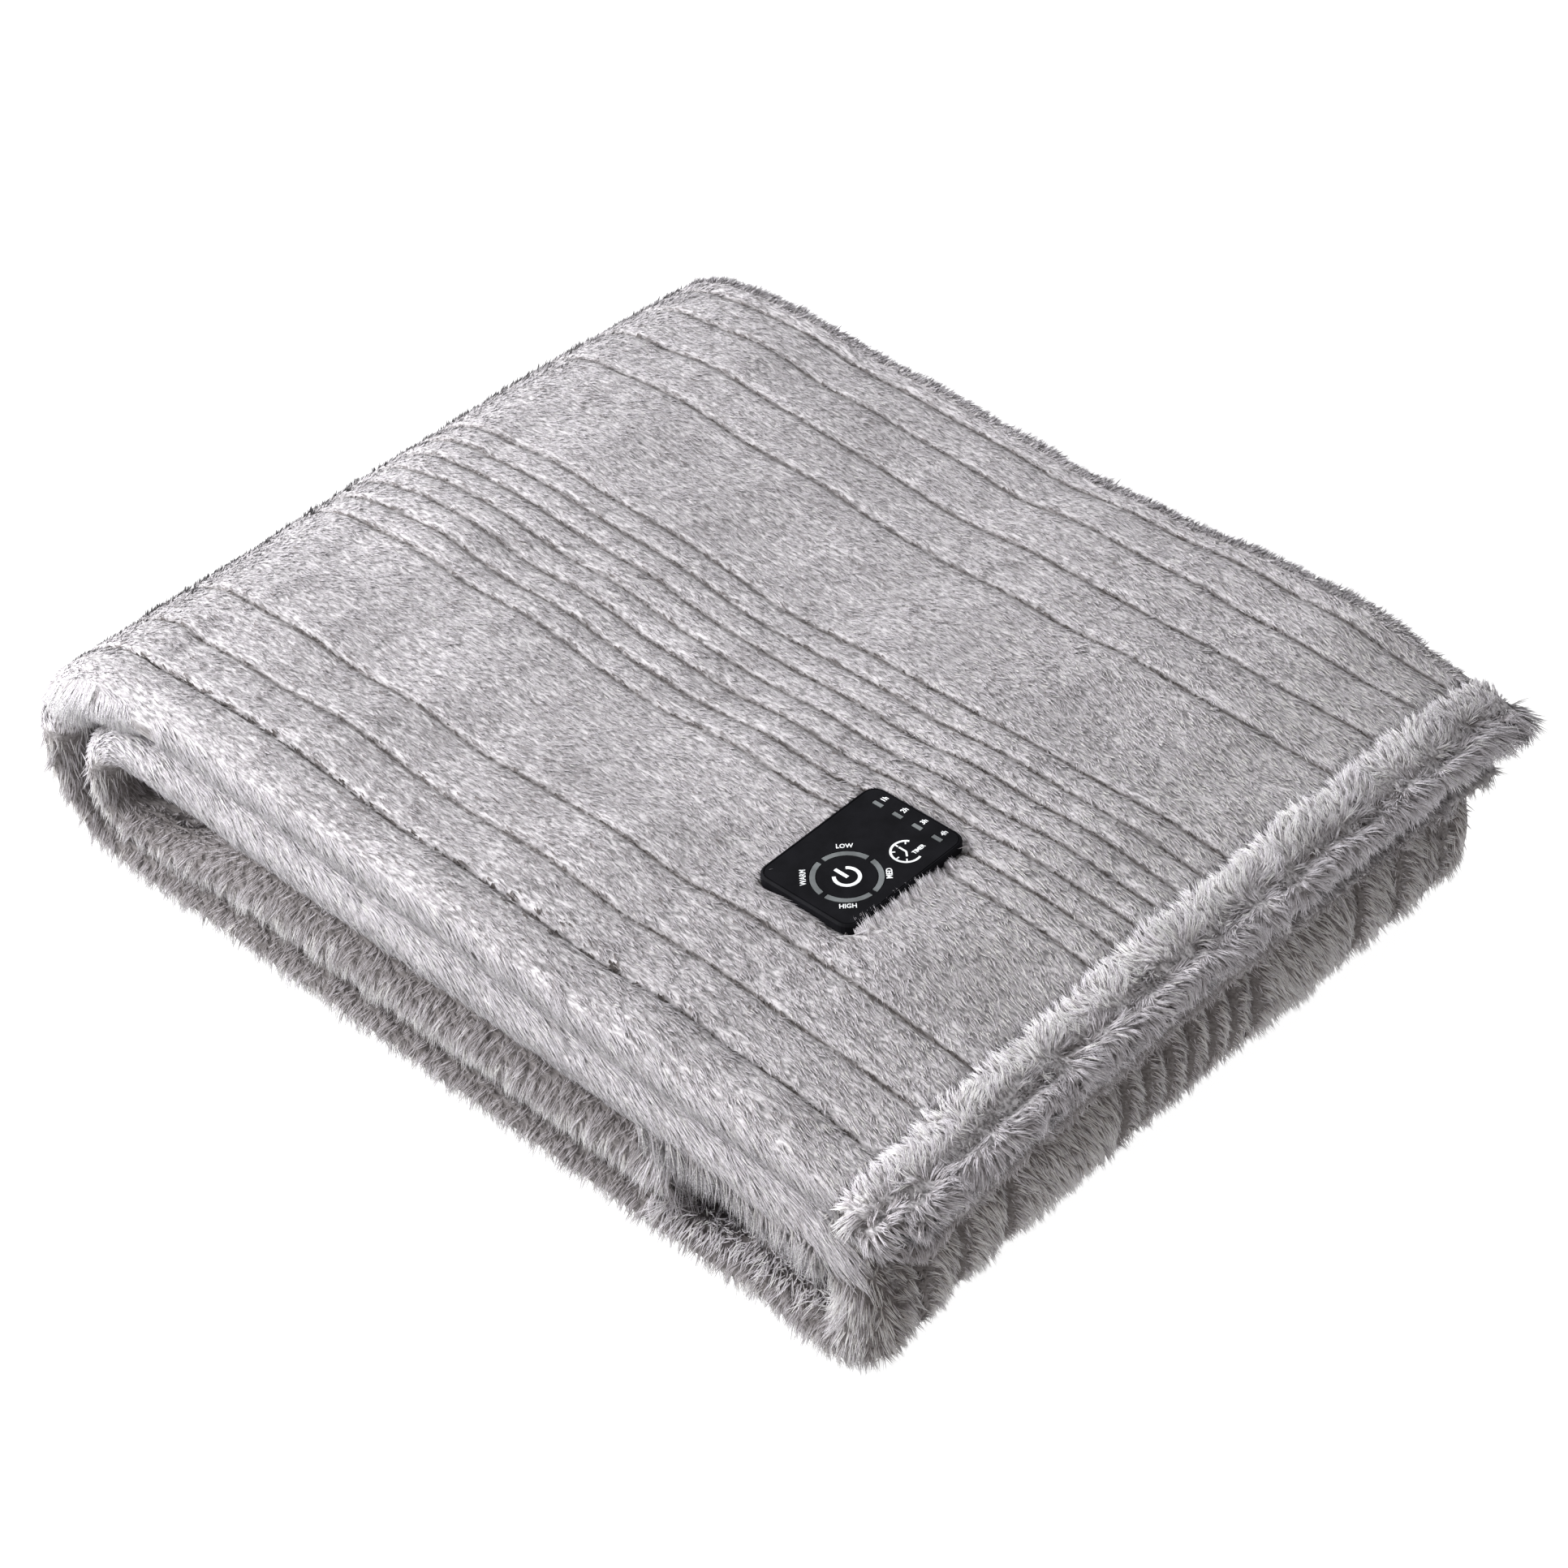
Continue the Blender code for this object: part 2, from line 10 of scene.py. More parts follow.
import bmesh
import bpy
import numpy as np
from bpy.props import FloatProperty, FloatVectorProperty, IntProperty, PointerProperty
from mathutils import Matrix, Vector
from mathutils.bvhtree import BVHTree
from mathutils.kdtree import KDTree
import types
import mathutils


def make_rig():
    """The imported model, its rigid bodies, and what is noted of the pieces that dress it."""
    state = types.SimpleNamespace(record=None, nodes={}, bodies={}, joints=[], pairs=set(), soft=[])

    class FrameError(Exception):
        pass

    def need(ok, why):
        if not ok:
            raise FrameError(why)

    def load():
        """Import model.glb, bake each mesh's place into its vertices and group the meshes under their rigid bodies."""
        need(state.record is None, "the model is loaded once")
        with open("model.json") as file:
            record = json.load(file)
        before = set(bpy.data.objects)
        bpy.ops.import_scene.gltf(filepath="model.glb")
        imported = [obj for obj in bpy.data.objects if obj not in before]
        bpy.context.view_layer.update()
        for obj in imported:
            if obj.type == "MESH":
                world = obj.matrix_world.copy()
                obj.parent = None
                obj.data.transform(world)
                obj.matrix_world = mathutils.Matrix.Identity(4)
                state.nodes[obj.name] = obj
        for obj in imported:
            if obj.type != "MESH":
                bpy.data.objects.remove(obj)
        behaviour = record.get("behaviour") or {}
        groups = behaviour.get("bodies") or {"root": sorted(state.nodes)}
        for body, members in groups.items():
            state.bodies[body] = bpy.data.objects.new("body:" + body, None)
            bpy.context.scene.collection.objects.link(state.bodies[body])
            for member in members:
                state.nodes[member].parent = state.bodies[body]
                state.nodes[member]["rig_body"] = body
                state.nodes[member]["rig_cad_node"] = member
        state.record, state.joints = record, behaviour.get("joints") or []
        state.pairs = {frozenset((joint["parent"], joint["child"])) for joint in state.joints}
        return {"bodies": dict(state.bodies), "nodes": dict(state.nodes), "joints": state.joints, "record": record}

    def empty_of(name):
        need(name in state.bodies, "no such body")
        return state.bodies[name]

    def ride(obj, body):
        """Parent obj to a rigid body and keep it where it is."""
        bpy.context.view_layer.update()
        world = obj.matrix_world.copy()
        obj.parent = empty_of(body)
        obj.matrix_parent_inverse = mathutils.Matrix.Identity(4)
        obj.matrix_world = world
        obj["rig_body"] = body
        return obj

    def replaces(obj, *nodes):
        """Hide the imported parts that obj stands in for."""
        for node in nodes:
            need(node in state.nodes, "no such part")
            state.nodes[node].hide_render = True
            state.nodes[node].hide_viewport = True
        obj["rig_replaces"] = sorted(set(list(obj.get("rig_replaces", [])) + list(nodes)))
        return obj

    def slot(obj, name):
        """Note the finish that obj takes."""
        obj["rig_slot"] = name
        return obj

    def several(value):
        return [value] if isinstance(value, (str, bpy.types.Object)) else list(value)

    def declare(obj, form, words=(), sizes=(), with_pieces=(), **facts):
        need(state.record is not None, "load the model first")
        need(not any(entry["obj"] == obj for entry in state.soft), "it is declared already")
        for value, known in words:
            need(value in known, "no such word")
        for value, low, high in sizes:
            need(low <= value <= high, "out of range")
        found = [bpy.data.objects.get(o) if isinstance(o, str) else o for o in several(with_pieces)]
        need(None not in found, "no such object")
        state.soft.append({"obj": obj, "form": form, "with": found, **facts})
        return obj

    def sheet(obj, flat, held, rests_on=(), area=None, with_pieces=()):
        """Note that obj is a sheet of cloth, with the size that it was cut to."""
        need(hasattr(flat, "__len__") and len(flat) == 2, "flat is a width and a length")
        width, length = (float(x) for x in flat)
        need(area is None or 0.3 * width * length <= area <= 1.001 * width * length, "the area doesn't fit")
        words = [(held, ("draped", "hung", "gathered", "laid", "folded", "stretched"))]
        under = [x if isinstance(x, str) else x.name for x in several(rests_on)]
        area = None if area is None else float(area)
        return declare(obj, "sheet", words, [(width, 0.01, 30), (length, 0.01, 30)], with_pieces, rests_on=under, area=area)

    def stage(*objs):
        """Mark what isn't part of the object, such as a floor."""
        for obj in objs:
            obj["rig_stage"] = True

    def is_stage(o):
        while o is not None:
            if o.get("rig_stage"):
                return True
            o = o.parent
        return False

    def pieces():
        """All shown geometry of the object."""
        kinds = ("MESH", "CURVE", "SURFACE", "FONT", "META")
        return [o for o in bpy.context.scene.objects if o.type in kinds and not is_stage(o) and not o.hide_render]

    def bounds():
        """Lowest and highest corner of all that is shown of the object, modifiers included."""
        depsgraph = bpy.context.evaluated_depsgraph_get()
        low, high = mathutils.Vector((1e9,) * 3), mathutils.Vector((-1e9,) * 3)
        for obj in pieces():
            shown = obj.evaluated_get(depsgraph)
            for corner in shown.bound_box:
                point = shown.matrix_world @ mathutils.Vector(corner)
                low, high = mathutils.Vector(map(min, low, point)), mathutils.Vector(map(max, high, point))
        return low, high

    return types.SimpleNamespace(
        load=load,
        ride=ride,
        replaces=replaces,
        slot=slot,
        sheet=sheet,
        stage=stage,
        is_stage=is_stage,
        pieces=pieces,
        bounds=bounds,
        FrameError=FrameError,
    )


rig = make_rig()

bl_info = {
    "name": "Folded heated throw",
    "version": (1, 0, 0),
    "blender": (4, 5, 0),
    "location": "View3D > Sidebar > Heated throw",
    "description": "Makes a folded plush throw with its pile, hem and touch control panel",
    "category": "Object",
}

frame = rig.load()
CAD_BOX = [list(corner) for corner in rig.bounds()]

# --- sizes shared with the solids, in metres

CUT_LENGTH = 1.524
CUT_WIDTH = 1.270
SHEET = 0.0049
SHEET_GAP = 0.0007
LAYER_GAP = 0.0011
SIDE_FOLD_INSET = 0.006
SIDE_HEM_INSET = 0.014
RIB_PITCH = 0.0114
WIDE_PITCH = 0.0236
PLAIN_BAND = 0.0580
RIB_MIDDLE = -0.0060
SIDE_STITCH_Y = 0.1515
HEM_X = 0.2060
LEFT_FOLD_X = -0.1640
RIGHT_FOLD_X = 0.1640
INNER_FOLD_X = -0.1600
HEM_WIDTH = 0.0245
HEM_LIP = 0.0140
SQUASH = {                # thickness of the layers at the left, in the middle and at the right
    "top": (1.06, 1.06, 1.06),
    "second": (0.92, 1.01, 1.30),
    "third": (0.66, 1.24, 1.24),
    "bottom": (0.70, 0.76, 1.08),
}
LEFT_END = (-0.150, -0.085)
RIGHT_END = (0.118, 0.150)
RISE_X = (-0.205, -0.130, 0.000, 0.130, 0.208)
RISE_Y = (-0.168, -0.080, 0.000, 0.080, 0.168)
RISE = (                  # how far the stack's top stands off level, at those x and y
    (-0.004, 0.000, -0.004, -0.009, -0.013),
    (-0.003, 0.003, 0.000, 0.001, -0.006),
    (0.000, 0.005, 0.000, 0.004, -0.002),
    (0.001, 0.006, 0.000, 0.003, -0.001),
    (-0.002, 0.004, 0.000, 0.005, -0.005),
)
CORNER_FLARE = 0.006
BACK_TUCK = 0.012        # the lower layers stop this far short of the hem's back corner
FOLD_SQUARE = 0.78        # below 1 the right fold is squarer than a half circle
CENTRE = (0.00112882, 0.00196355)   # from the folds' own origin to the middle of the box
PANEL_AT = (0.0933, -0.0554)
PANEL_SIZE = (0.0424, 0.0590)
PANEL_CORNER = 0.0054
PANEL_SUNK = 0.0030
PANEL_PROUD = 0.0016
RING_AT = (0.0033, -0.0109)

LAYER = 4 * SHEET + 3 * SHEET_GAP
OUTER_N = 1.5 * (SHEET + SHEET_GAP)
INNER_N = 0.5 * (SHEET + SHEET_GAP)
SIDE_TURNS = math.pi * (OUTER_N + 2 * INNER_N)
HALF_WIDTH = (CUT_WIDTH - SIDE_TURNS + 2 * LAYER + 2 * (SIDE_FOLD_INSET + INNER_N + SHEET / 2)
              + SIDE_HEM_INSET) / 8
TURN_Y = -HALF_WIDTH + LAYER / 2
FOLD_Y = HALF_WIDTH - SIDE_FOLD_INSET - INNER_N - SHEET / 2
LOW_HEM_Y = HALF_WIDTH - SIDE_HEM_INSET
SECOND_TOP = LAYER * sum(SQUASH[key][1] for key in ("bottom", "third", "second")) + 2 * LAYER_GAP
STACK = SECOND_TOP + LAYER_GAP + SQUASH["top"][1] * LAYER

# --- the ground of the cloth under its pile

PILE_BED = 0.0011        # the ground lies this far inside the pressed pile's surface
INNER_BED = 0.0003
GROOVE_HALF = 0.0021
GROOVE_DEPTH = 0.0010    # below the ground beside it
FOLD_GROOVE = 0.0026     # and where the second fold turns it out
SEAM_DENT = 0.0026       # the hem's parting lies this far below the lip
SEAM_HALF = 0.0016
GROOVE_WANDER = 0.0016
FRONT_LINE = -0.135      # grooves in front of this y are deeper
FRONT_DEEPER = 0.0012
DIMPLE_AT = 0.0268       # one of the dimples along the front-most groove
DIMPLE_PITCH = 0.0115
WRINKLE_Y = 0.0605       # a faint wrinkle of the top, from the left
WRINKLE_END = 0.055
WELT_RISE = 0.0012       # the hem's welt stands this far above the top
STITCH_DENT = 0.0022     # and the stitched line behind it lies this far below
STITCH_HALF = 0.0034
LIP_RUN = 0.030          # the inner sheets draw back from the hem along this run
BED_RUN = 0.004          # the pile's bed sinks to its depth along this run from an edge
END_ROUNDING = ((0.0, 0.0012, 0.0045, 0.0110), (0.20, 0.60, 0.90, 1.0))     # edge, thickness
SEAM_SLANT = 0.785       # the hem's parting is given by x less this share of z
SEAM_Y = (-0.161, -0.148, -0.115, -0.060, 0.165)
SEAM_X = (0.1335, 0.1360, 0.1330, 0.1292, 0.1298)
FRINGE_Y = (-0.150, -0.115, -0.065, -0.020)
FRINGE_X = (0.1490, 0.1470, 0.1450, 0.1410)     # where the fringe over the under lip ends
PIT_FLAT = 0.0004        # the cloth under the panel reaches this far past it
PIT_EDGE = 0.0016        # and has risen beside it at this distance
FRONT_LINE_BACK = 0.0035     # the front-most groove of the top lies this far behind its pitch
RAY_REACH = 0.25         # rays that meet nothing in this reach leave the stack
FLOOR_FAR = 0.06         # and those that meet the floor no nearer than this count as free
PRESSED = 0.0015         # cloth with less room than this above it shows no pile
TOP_Z = 0.060            # the top layer's upper face lies above this height


COLOUR = {"subtype": "COLOR", "size": 3, "min": 0, "max": 1}


class ClothSettings(bpy.types.PropertyGroup):
    """Colours and relief of the cloth's ground."""

    ground: FloatVectorProperty(
        name="Ground", description="Colour of the knitted ground under the pile",
        default=(0.42, 0.405, 0.42), **COLOUR)
    # painted shade: this colour darkens the ground in the grooves, the hem's parting and on the faces that lie in
    # shade
    groove: FloatVectorProperty(
        name="Groove", description="Colour at the bottom of the sheared grooves",
        default=(0.075, 0.064, 0.060), **COLOUR)
    swell: FloatProperty(
        name="Swell", description="Height of the soft unevenness of the top",
        unit="LENGTH", min=0, max=0.004, default=0.0008)


class PileSettings(bpy.types.PropertyGroup):
    """Colours, length and thickness of the pile."""

    # painted shade: the roots are drawn much darker than the tips, for the shade among the hairs near the cloth
    root: FloatVectorProperty(
        name="Root", description="Colour of the hairs where they leave the ground",
        default=(0.15, 0.125, 0.12), **COLOUR)
    tip: FloatVectorProperty(
        name="Tip", description="Colour of the hairs' tips",
        default=(0.755, 0.73, 0.785), **COLOUR)
    short: FloatProperty(
        name="Short pile", description="Length of the hairs on the pressed top",
        unit="LENGTH", min=0.001, max=0.01, default=0.0040)
    long: FloatProperty(
        name="Long pile", description="Length of the hairs at the hem",
        unit="LENGTH", min=0.002, max=0.02, default=0.0085)
    hair: FloatProperty(
        name="Hair", description="Width of a tuft of hairs at its root",
        unit="LENGTH", min=0.0001, max=0.002, default=0.00090)
    seed: IntProperty(
        name="Seed", description="Start of the random draws that place the hairs",
        min=0, default=7)


class PanelSettings(bpy.types.PropertyGroup):
    """Finish and print of the touch control panel."""

    black: FloatVectorProperty(
        name="Panel", description="Colour of the panel's moulded plastic",
        default=(0.006, 0.006, 0.0075), **COLOUR)
    ink: FloatVectorProperty(
        name="Ink", description="Colour of the printed words and signs",
        default=(0.80, 0.82, 0.84), **COLOUR)
    window: FloatVectorProperty(
        name="Light windows", description="Colour of the unlit light windows",
        default=(0.13, 0.14, 0.145), **COLOUR)
    letter: FloatProperty(
        name="Letters", description="Height of the printed capitals",
        unit="LENGTH", min=0.001, max=0.005, default=0.0021)


class StageSettings(bpy.types.PropertyGroup):
    """Floor, light and camera."""

    floor: FloatVectorProperty(
        name="Floor", description="Colour of the floor",
        default=(0.20, 0.20, 0.20), **COLOUR)
    key: FloatProperty(
        name="Key light", description="Power of the large soft light at the left",
        unit="POWER", min=0, default=60.0)
    sky: FloatProperty(
        name="Surroundings", description="Strength of the even light from all round",
        min=0, default=0.30)
    azimuth: FloatProperty(
        name="Camera azimuth", description="Angle of the camera round the throw",
        subtype="ANGLE", default=math.radians(42.66))
    elevation: FloatProperty(
        name="Camera elevation", description="Angle of the camera above the floor",
        subtype="ANGLE", default=math.radians(40.82))
    lens: FloatProperty(
        name="Lens", description="Focal length", subtype="DISTANCE_CAMERA",
        min=10, default=101.1)


# --- helpers

def smooth(x, start, end):
    """0 before start, 1 after end, with an even ramp between."""
    t = np.clip((np.asarray(x, float) - start) / (end - start), 0.0, 1.0)
    return t * t * (3 - 2 * t)


def bell(x, width):
    """1 where x is 0, falling off to both sides."""
    return np.exp(-(x / width) ** 2)


def unit(v):
    """Vectors of length 1, one to a row."""
    return v / np.maximum(np.linalg.norm(v, axis=-1, keepdims=True), 1e-12)


def waves(a, b, size, seed, count=7):
    """Smooth uneven field from -1 to 1 over two coordinates, its humps about one size wide."""
    rng = np.random.default_rng(seed)
    total = 0.0
    for _ in range(count):
        angle, phase = rng.uniform(0, 2 * math.pi, 2)
        pitch = 2 * math.pi / (size * rng.uniform(1.3, 3.2))
        total = total + np.sin(pitch * (a * math.cos(angle) + b * math.sin(angle)) + phase)
    return total / math.sqrt(count)


def linked_object(name, data):
    """A new object with this data, linked to the scene."""
    made = bpy.data.objects.new(name, data)
    bpy.context.scene.collection.objects.link(made)
    return made


def mesh_object(name, verts, corners, counts, material):
    """Object from flat arrays: points, the faces' corners in a row and corners a face."""
    mesh = bpy.data.meshes.new(name)
    mesh.vertices.add(len(verts))
    mesh.vertices.foreach_set("co", np.asarray(verts, np.float32).ravel())
    mesh.loops.add(len(corners))
    mesh.loops.foreach_set("vertex_index", np.asarray(corners, np.int32))
    mesh.polygons.add(len(counts))
    starts = np.concatenate([[0], np.cumsum(counts)[:-1]]).astype(np.int32)
    mesh.polygons.foreach_set("loop_start", starts)
    mesh.polygons.foreach_set("use_smooth", np.ones(len(counts), bool))
    mesh.update(calc_edges=True)
    mesh.materials.append(material)
    return linked_object(name, mesh)


def values_of(items, key, width, kind=np.float32):
    """One property of all the items of a mesh, a row for each."""
    found = np.zeros(len(items) * width, kind)
    items.foreach_get(key, found)
    return found.reshape(-1, width)


def set_values(mesh, name, values):
    """Values from 0 to 1 at the vertices, kept under a name for the materials."""
    mesh.attributes.new(name, "FLOAT", "POINT").data.foreach_set(
        "value", np.clip(values, 0, 1).astype(np.float32))


# --- materials

class Finish:
    """A new node material with its Principled shader and short calls to add nodes."""

    def __init__(self, name, roughness, **sockets):
        self.material = bpy.data.materials.new(name)
        self.material.use_nodes = True
        self.tree = self.material.node_tree
        self.shader = self.tree.nodes["Principled BSDF"]
        self.shader.inputs["Roughness"].default_value = roughness
        for socket, value in sockets.items():
            self.shader.inputs[socket.replace("_", " ")].default_value = value

    def add(self, kind, **values):
        """A new node; a value whose key starts with in_ goes to that input."""
        node = self.tree.nodes.new(kind)
        for key, value in values.items():
            if key.startswith("in_"):
                node.inputs[key[3:].replace("_", " ")].default_value = value
            else:
                setattr(node, key, value)
        return node

    def link(self, source, target):
        self.tree.links.new(source, target)

    def places(self, scale=(1, 1, 1), turn=0.0):
        """Object coordinates, turned about Z and stretched by scale."""
        where = self.add("ShaderNodeTexCoord")
        mapping = self.add("ShaderNodeMapping", in_Rotation=(0.0, 0.0, turn), in_Scale=scale)
        self.link(where.outputs["Object"], mapping.inputs["Vector"])
        return mapping.outputs["Vector"]

    def noise(self, where, size, detail=3.0, roughness=0.55):
        """Grey noise with grains of about this size in metres."""
        node = self.add("ShaderNodeTexNoise", in_Scale=1.0 / size, in_Detail=detail,
                        in_Roughness=roughness)
        self.link(where, node.inputs["Vector"])
        return node.outputs["Fac"]

    def ramp(self, fac, *stops):
        """Grey or colour stops as (place, value)."""
        node = self.add("ShaderNodeValToRGB")
        elements = node.color_ramp.elements
        while len(elements) < len(stops):
            elements.new(0.5)
        for element, (place, value) in zip(elements, stops):
            element.position = place
            element.color = (*value, 1.0) if hasattr(value, "__len__") else (value,) * 3 + (1.0,)
        self.link(fac, node.inputs["Fac"])
        return node.outputs["Color"]

    def mix(self, kind, fac, a, b):
        """Colour b over a; each of the three is a value or another node's output."""
        node = self.add("ShaderNodeMix", data_type="RGBA", blend_type=kind)
        for value, socket in ((fac, node.inputs[0]), (a, node.inputs[6]), (b, node.inputs[7])):
            if isinstance(value, bpy.types.NodeSocket):
                self.link(value, socket)
            elif hasattr(value, "__len__"):
                socket.default_value = (*value, 1.0)
            else:
                socket.default_value = value
        return node.outputs[2]

    def attribute(self, name, output="Fac"):
        """A value or colour that the mesh keeps at its vertices."""
        return self.add("ShaderNodeAttribute", attribute_name=name).outputs[output]

    def colour(self, source):
        self.link(source, self.shader.inputs["Base Color"])

    def bump(self, *heights):
        """Bumps as (height output, depth in metres), one after another."""
        before = None
        for height, depth in heights:
            node = self.add("ShaderNodeBump", in_Strength=1.0, in_Distance=depth)
            self.link(height, node.inputs["Height"])
            if before:
                self.link(before, node.inputs["Normal"])
            before = node.outputs["Normal"]
        self.link(before, self.shader.inputs["Normal"])


def ground_finish(cloth):
    """Knitted ground: short fibres laid along the ribs, with painted shade in the grooves, the hem's parting and where
    the ground lies in shade.
    """
    made = Finish("plush_ground", 0.95, Sheen_Weight=0.15, Specular_IOR_Level=0.15)
    along = made.places((0.30, 1.0, 1.0), -0.30)
    fibres = made.noise(along, 0.0011, 2.0)
    patches = made.noise(made.places(), 0.030, 2.0)
    ground = made.mix("MULTIPLY", 1.0, tuple(cloth.ground),
                      made.ramp(fibres, (0.36, 0.45), (0.62, 1.30)))
    ground = made.mix("MULTIPLY", 1.0, ground, made.ramp(patches, (0.35, 0.95), (0.65, 1.04)))
    # painted shade: the ground turns toward the groove colour where mark_ground marks shade
    made.colour(made.mix("MIX", made.attribute("painted_shade"), ground, tuple(cloth.groove)))
    made.bump((fibres, 0.0005), (patches, 0.0010))
    return made.material


def pile_finish():
    """Hairs coloured from root to tip by their own attribute, which carries painted light and shade, with fine uneven
    fibres.
    """
    made = Finish("plush_pile", 0.80, Sheen_Weight=0.18, Sheen_Roughness=0.45,
                  Specular_IOR_Level=0.20)
    fibres = made.noise(made.places(), 0.0007, 2.0)
    patches = made.noise(made.places(), 0.024, 2.0)
    shade = made.mix("MULTIPLY", 1.0, made.attribute("tint", "Color"),
                     made.ramp(fibres, (0.34, 0.80), (0.66, 1.0)))
    made.colour(made.mix("MULTIPLY", 1.0, shade,
                         made.ramp(patches, (0.35, 0.97), (0.65, 1.0))))
    made.bump((fibres, 0.0002))
    return made.material


# --- the folded section and the path it follows

def squash(layer, x):
    """Thickness of a layer at x against that of four relaxed sheets."""
    left, middle, right = SQUASH[layer]
    return float(left + (middle - left) * smooth(x, *LEFT_END)
                 + (right - middle) * smooth(x, *RIGHT_END))


def level(layer, x):
    """Height of a layer's middle and its squash, where it runs straight."""
    q = squash(layer, x)
    if layer == "top":
        return STACK - q * LAYER / 2, q
    if layer == "second":
        return SECOND_TOP - q * LAYER / 2, q
    if layer == "third":
        return squash("bottom", x) * LAYER + LAYER_GAP + q * LAYER / 2, q
    return q * LAYER / 2, q


def straight_run(layer, x_from, x_to, steps):
    """Rows (x, z, nx, nz, squash) along a layer. Its outer side is up where it runs back."""
    up = 1.0 if x_to < x_from else -1.0
    return [(x, level(layer, x)[0], 0.0, up, level(layer, x)[1])
            for x in np.linspace(x_from, x_to, steps + 1)]


def fold_run(layer_from, layer_to, x, side, square, steps):
    """Rows around a fold at x, on the side given by -1 (left) or 1 (right)."""
    z_from, q_from = level(layer_from, x)
    z_to, q_to = level(layer_to, x)
    middle, reach = (z_from + z_to) / 2, abs(z_from - z_to) / 2
    way = 1 if z_from > z_to else -1
    rows = []
    for k in range(1, steps):
        angle = math.pi * k / steps
        s, c = math.sin(angle), math.cos(angle)
        out = side * s ** square
        up = way * math.copysign(abs(c) ** square, c)
        nx, nz = side * s ** (2 - square), way * math.copysign(abs(c) ** (2 - square), c)
        size = math.hypot(nx, nz)
        q = q_from + (q_to - q_from) * float(smooth(k / steps, 0, 1))
        rows.append((x + reach * out, middle + reach * up, nx / size, nz / size, q))
    return rows


def spiral():
    """The path from the hem of the top layer inward, as rows with their run along it."""
    rows = straight_run("top", HEM_X, LEFT_FOLD_X, 120)
    rows += fold_run("top", "bottom", LEFT_FOLD_X, -1, 1.0, 60)
    rows += straight_run("bottom", LEFT_FOLD_X, RIGHT_FOLD_X, 110)
    rows += fold_run("bottom", "second", RIGHT_FOLD_X, 1, FOLD_SQUARE, 50)
    rows += straight_run("second", RIGHT_FOLD_X, INNER_FOLD_X, 110)
    rows += fold_run("second", "third", INNER_FOLD_X, -1, 1.0, 40)
    rows += straight_run("third", INNER_FOLD_X, 0.20, 120)
    rows = np.array(rows)
    steps = np.hypot(np.diff(rows[:, 0]), np.diff(rows[:, 1]))
    return np.concatenate([[0.0], np.cumsum(steps)]), rows


RUN, PATH = spiral()
LEVEL = np.abs(PATH[:, 3]) == 1.0
BENDS = RUN[np.flatnonzero(np.diff(LEVEL))]   # where the three folds start and end


def stations():
    """Runs of the cross-sections: closest at the hem, the folds and the panel's edges."""
    found = [0.0, 0.0006, 0.0014, 0.0026, 0.0045, 0.0070, 0.0100, 0.0135, 0.0175, 0.0200]
    found += [HEM_WIDTH + d for d in (-0.0022, -0.0011, 0.0, 0.0011, 0.0022, 0.0040)]
    spans = ((0.0330, BENDS[0], 0.0074), (BENDS[0], BENDS[1], 0.0050),
             (BENDS[1], BENDS[2], 0.0220), (BENDS[2], BENDS[3], 0.0042),
             (BENDS[3], BENDS[4], 0.0180), (BENDS[4], BENDS[5], 0.0056),
             (BENDS[5], CUT_LENGTH - 0.012, 0.0220))
    for start, end, pitch in spans:
        found += list(np.linspace(start, end, max(2, round((end - start) / pitch))))
    found += [CUT_LENGTH - d for d in (0.0080, 0.0045, 0.0012, 0.0)]
    half = PANEL_SIZE[0] / 2
    for side in (-1, 1):
        edge = HEM_X - PANEL_AT[0] + side * half
        found += [edge + side * d for d in (-0.0030, -0.0012, 0.0, 0.0008, 0.0016, 0.0024)]
    found = np.unique(np.round(sorted(found), 5))
    keep = np.concatenate([[True], np.diff(found) > 0.0004])
    return found[keep]


Point = namedtuple("Point", "y n ny nn t groove puff inset thick")


def groove_lines():
    """Y of the grooves between the ribs on the outer sheet, the last one at the side hem."""
    narrow = [RIB_MIDDLE + RIB_PITCH * k for k in range(-3, 4)]
    front = [narrow[0] - PLAIN_BAND - WIDE_PITCH * k for k in range(3)]
    front[2] += FRONT_LINE_BACK
    back = [narrow[-1] + PLAIN_BAND + WIDE_PITCH * k for k in range(3)]
    return sorted(front + narrow + back + [SIDE_STITCH_Y])


def blunted(edge, way):
    """(y, groove, thickness) rows that round off a hem at an edge."""
    return [(edge + way * d, 0, t)
            for d, t in ((0, 0.30), (0.0008, 0.72), (0.0022, 0.94), (0.005, 1))]


def spaced(start, end, pitch):
    """Plain (y, groove, thickness) rows at about this pitch."""
    count = max(1, round(abs(end - start) / pitch))
    return [(y, 0, 1) for y in np.linspace(start, end, count + 1)]


def ribbed_rows():
    """(y, groove share, thickness share) across the outer sheet, from the top hem on."""
    lines = groove_lines()
    rows = blunted(HALF_WIDTH, -1)
    for y in lines:
        for share in (-1.0, -0.5, 0.0, 0.5, 1.0):
            rows.append((y + share * GROOVE_HALF, 0.5 + 0.5 * math.cos(math.pi * share), 1))
    edges = [PANEL_AT[1] + side * (PANEL_SIZE[1] / 2 + d)
             for side in (-1, 1) for d in (-0.0020 * side, 0.0, 0.0008 * side, 0.0018 * side)]
    rows += [(y, 0, 1) for y in edges if min(abs(y - g) for g in lines) > GROOVE_HALF]
    taken = [row[0] for row in rows]
    for y, groove, thick in spaced(TURN_Y, HALF_WIDTH - 0.006, 0.0040):
        if min(abs(y - t) for t in taken) > 0.0012:
            rows.append((y, groove, thick))
    return sorted(rows, reverse=True)


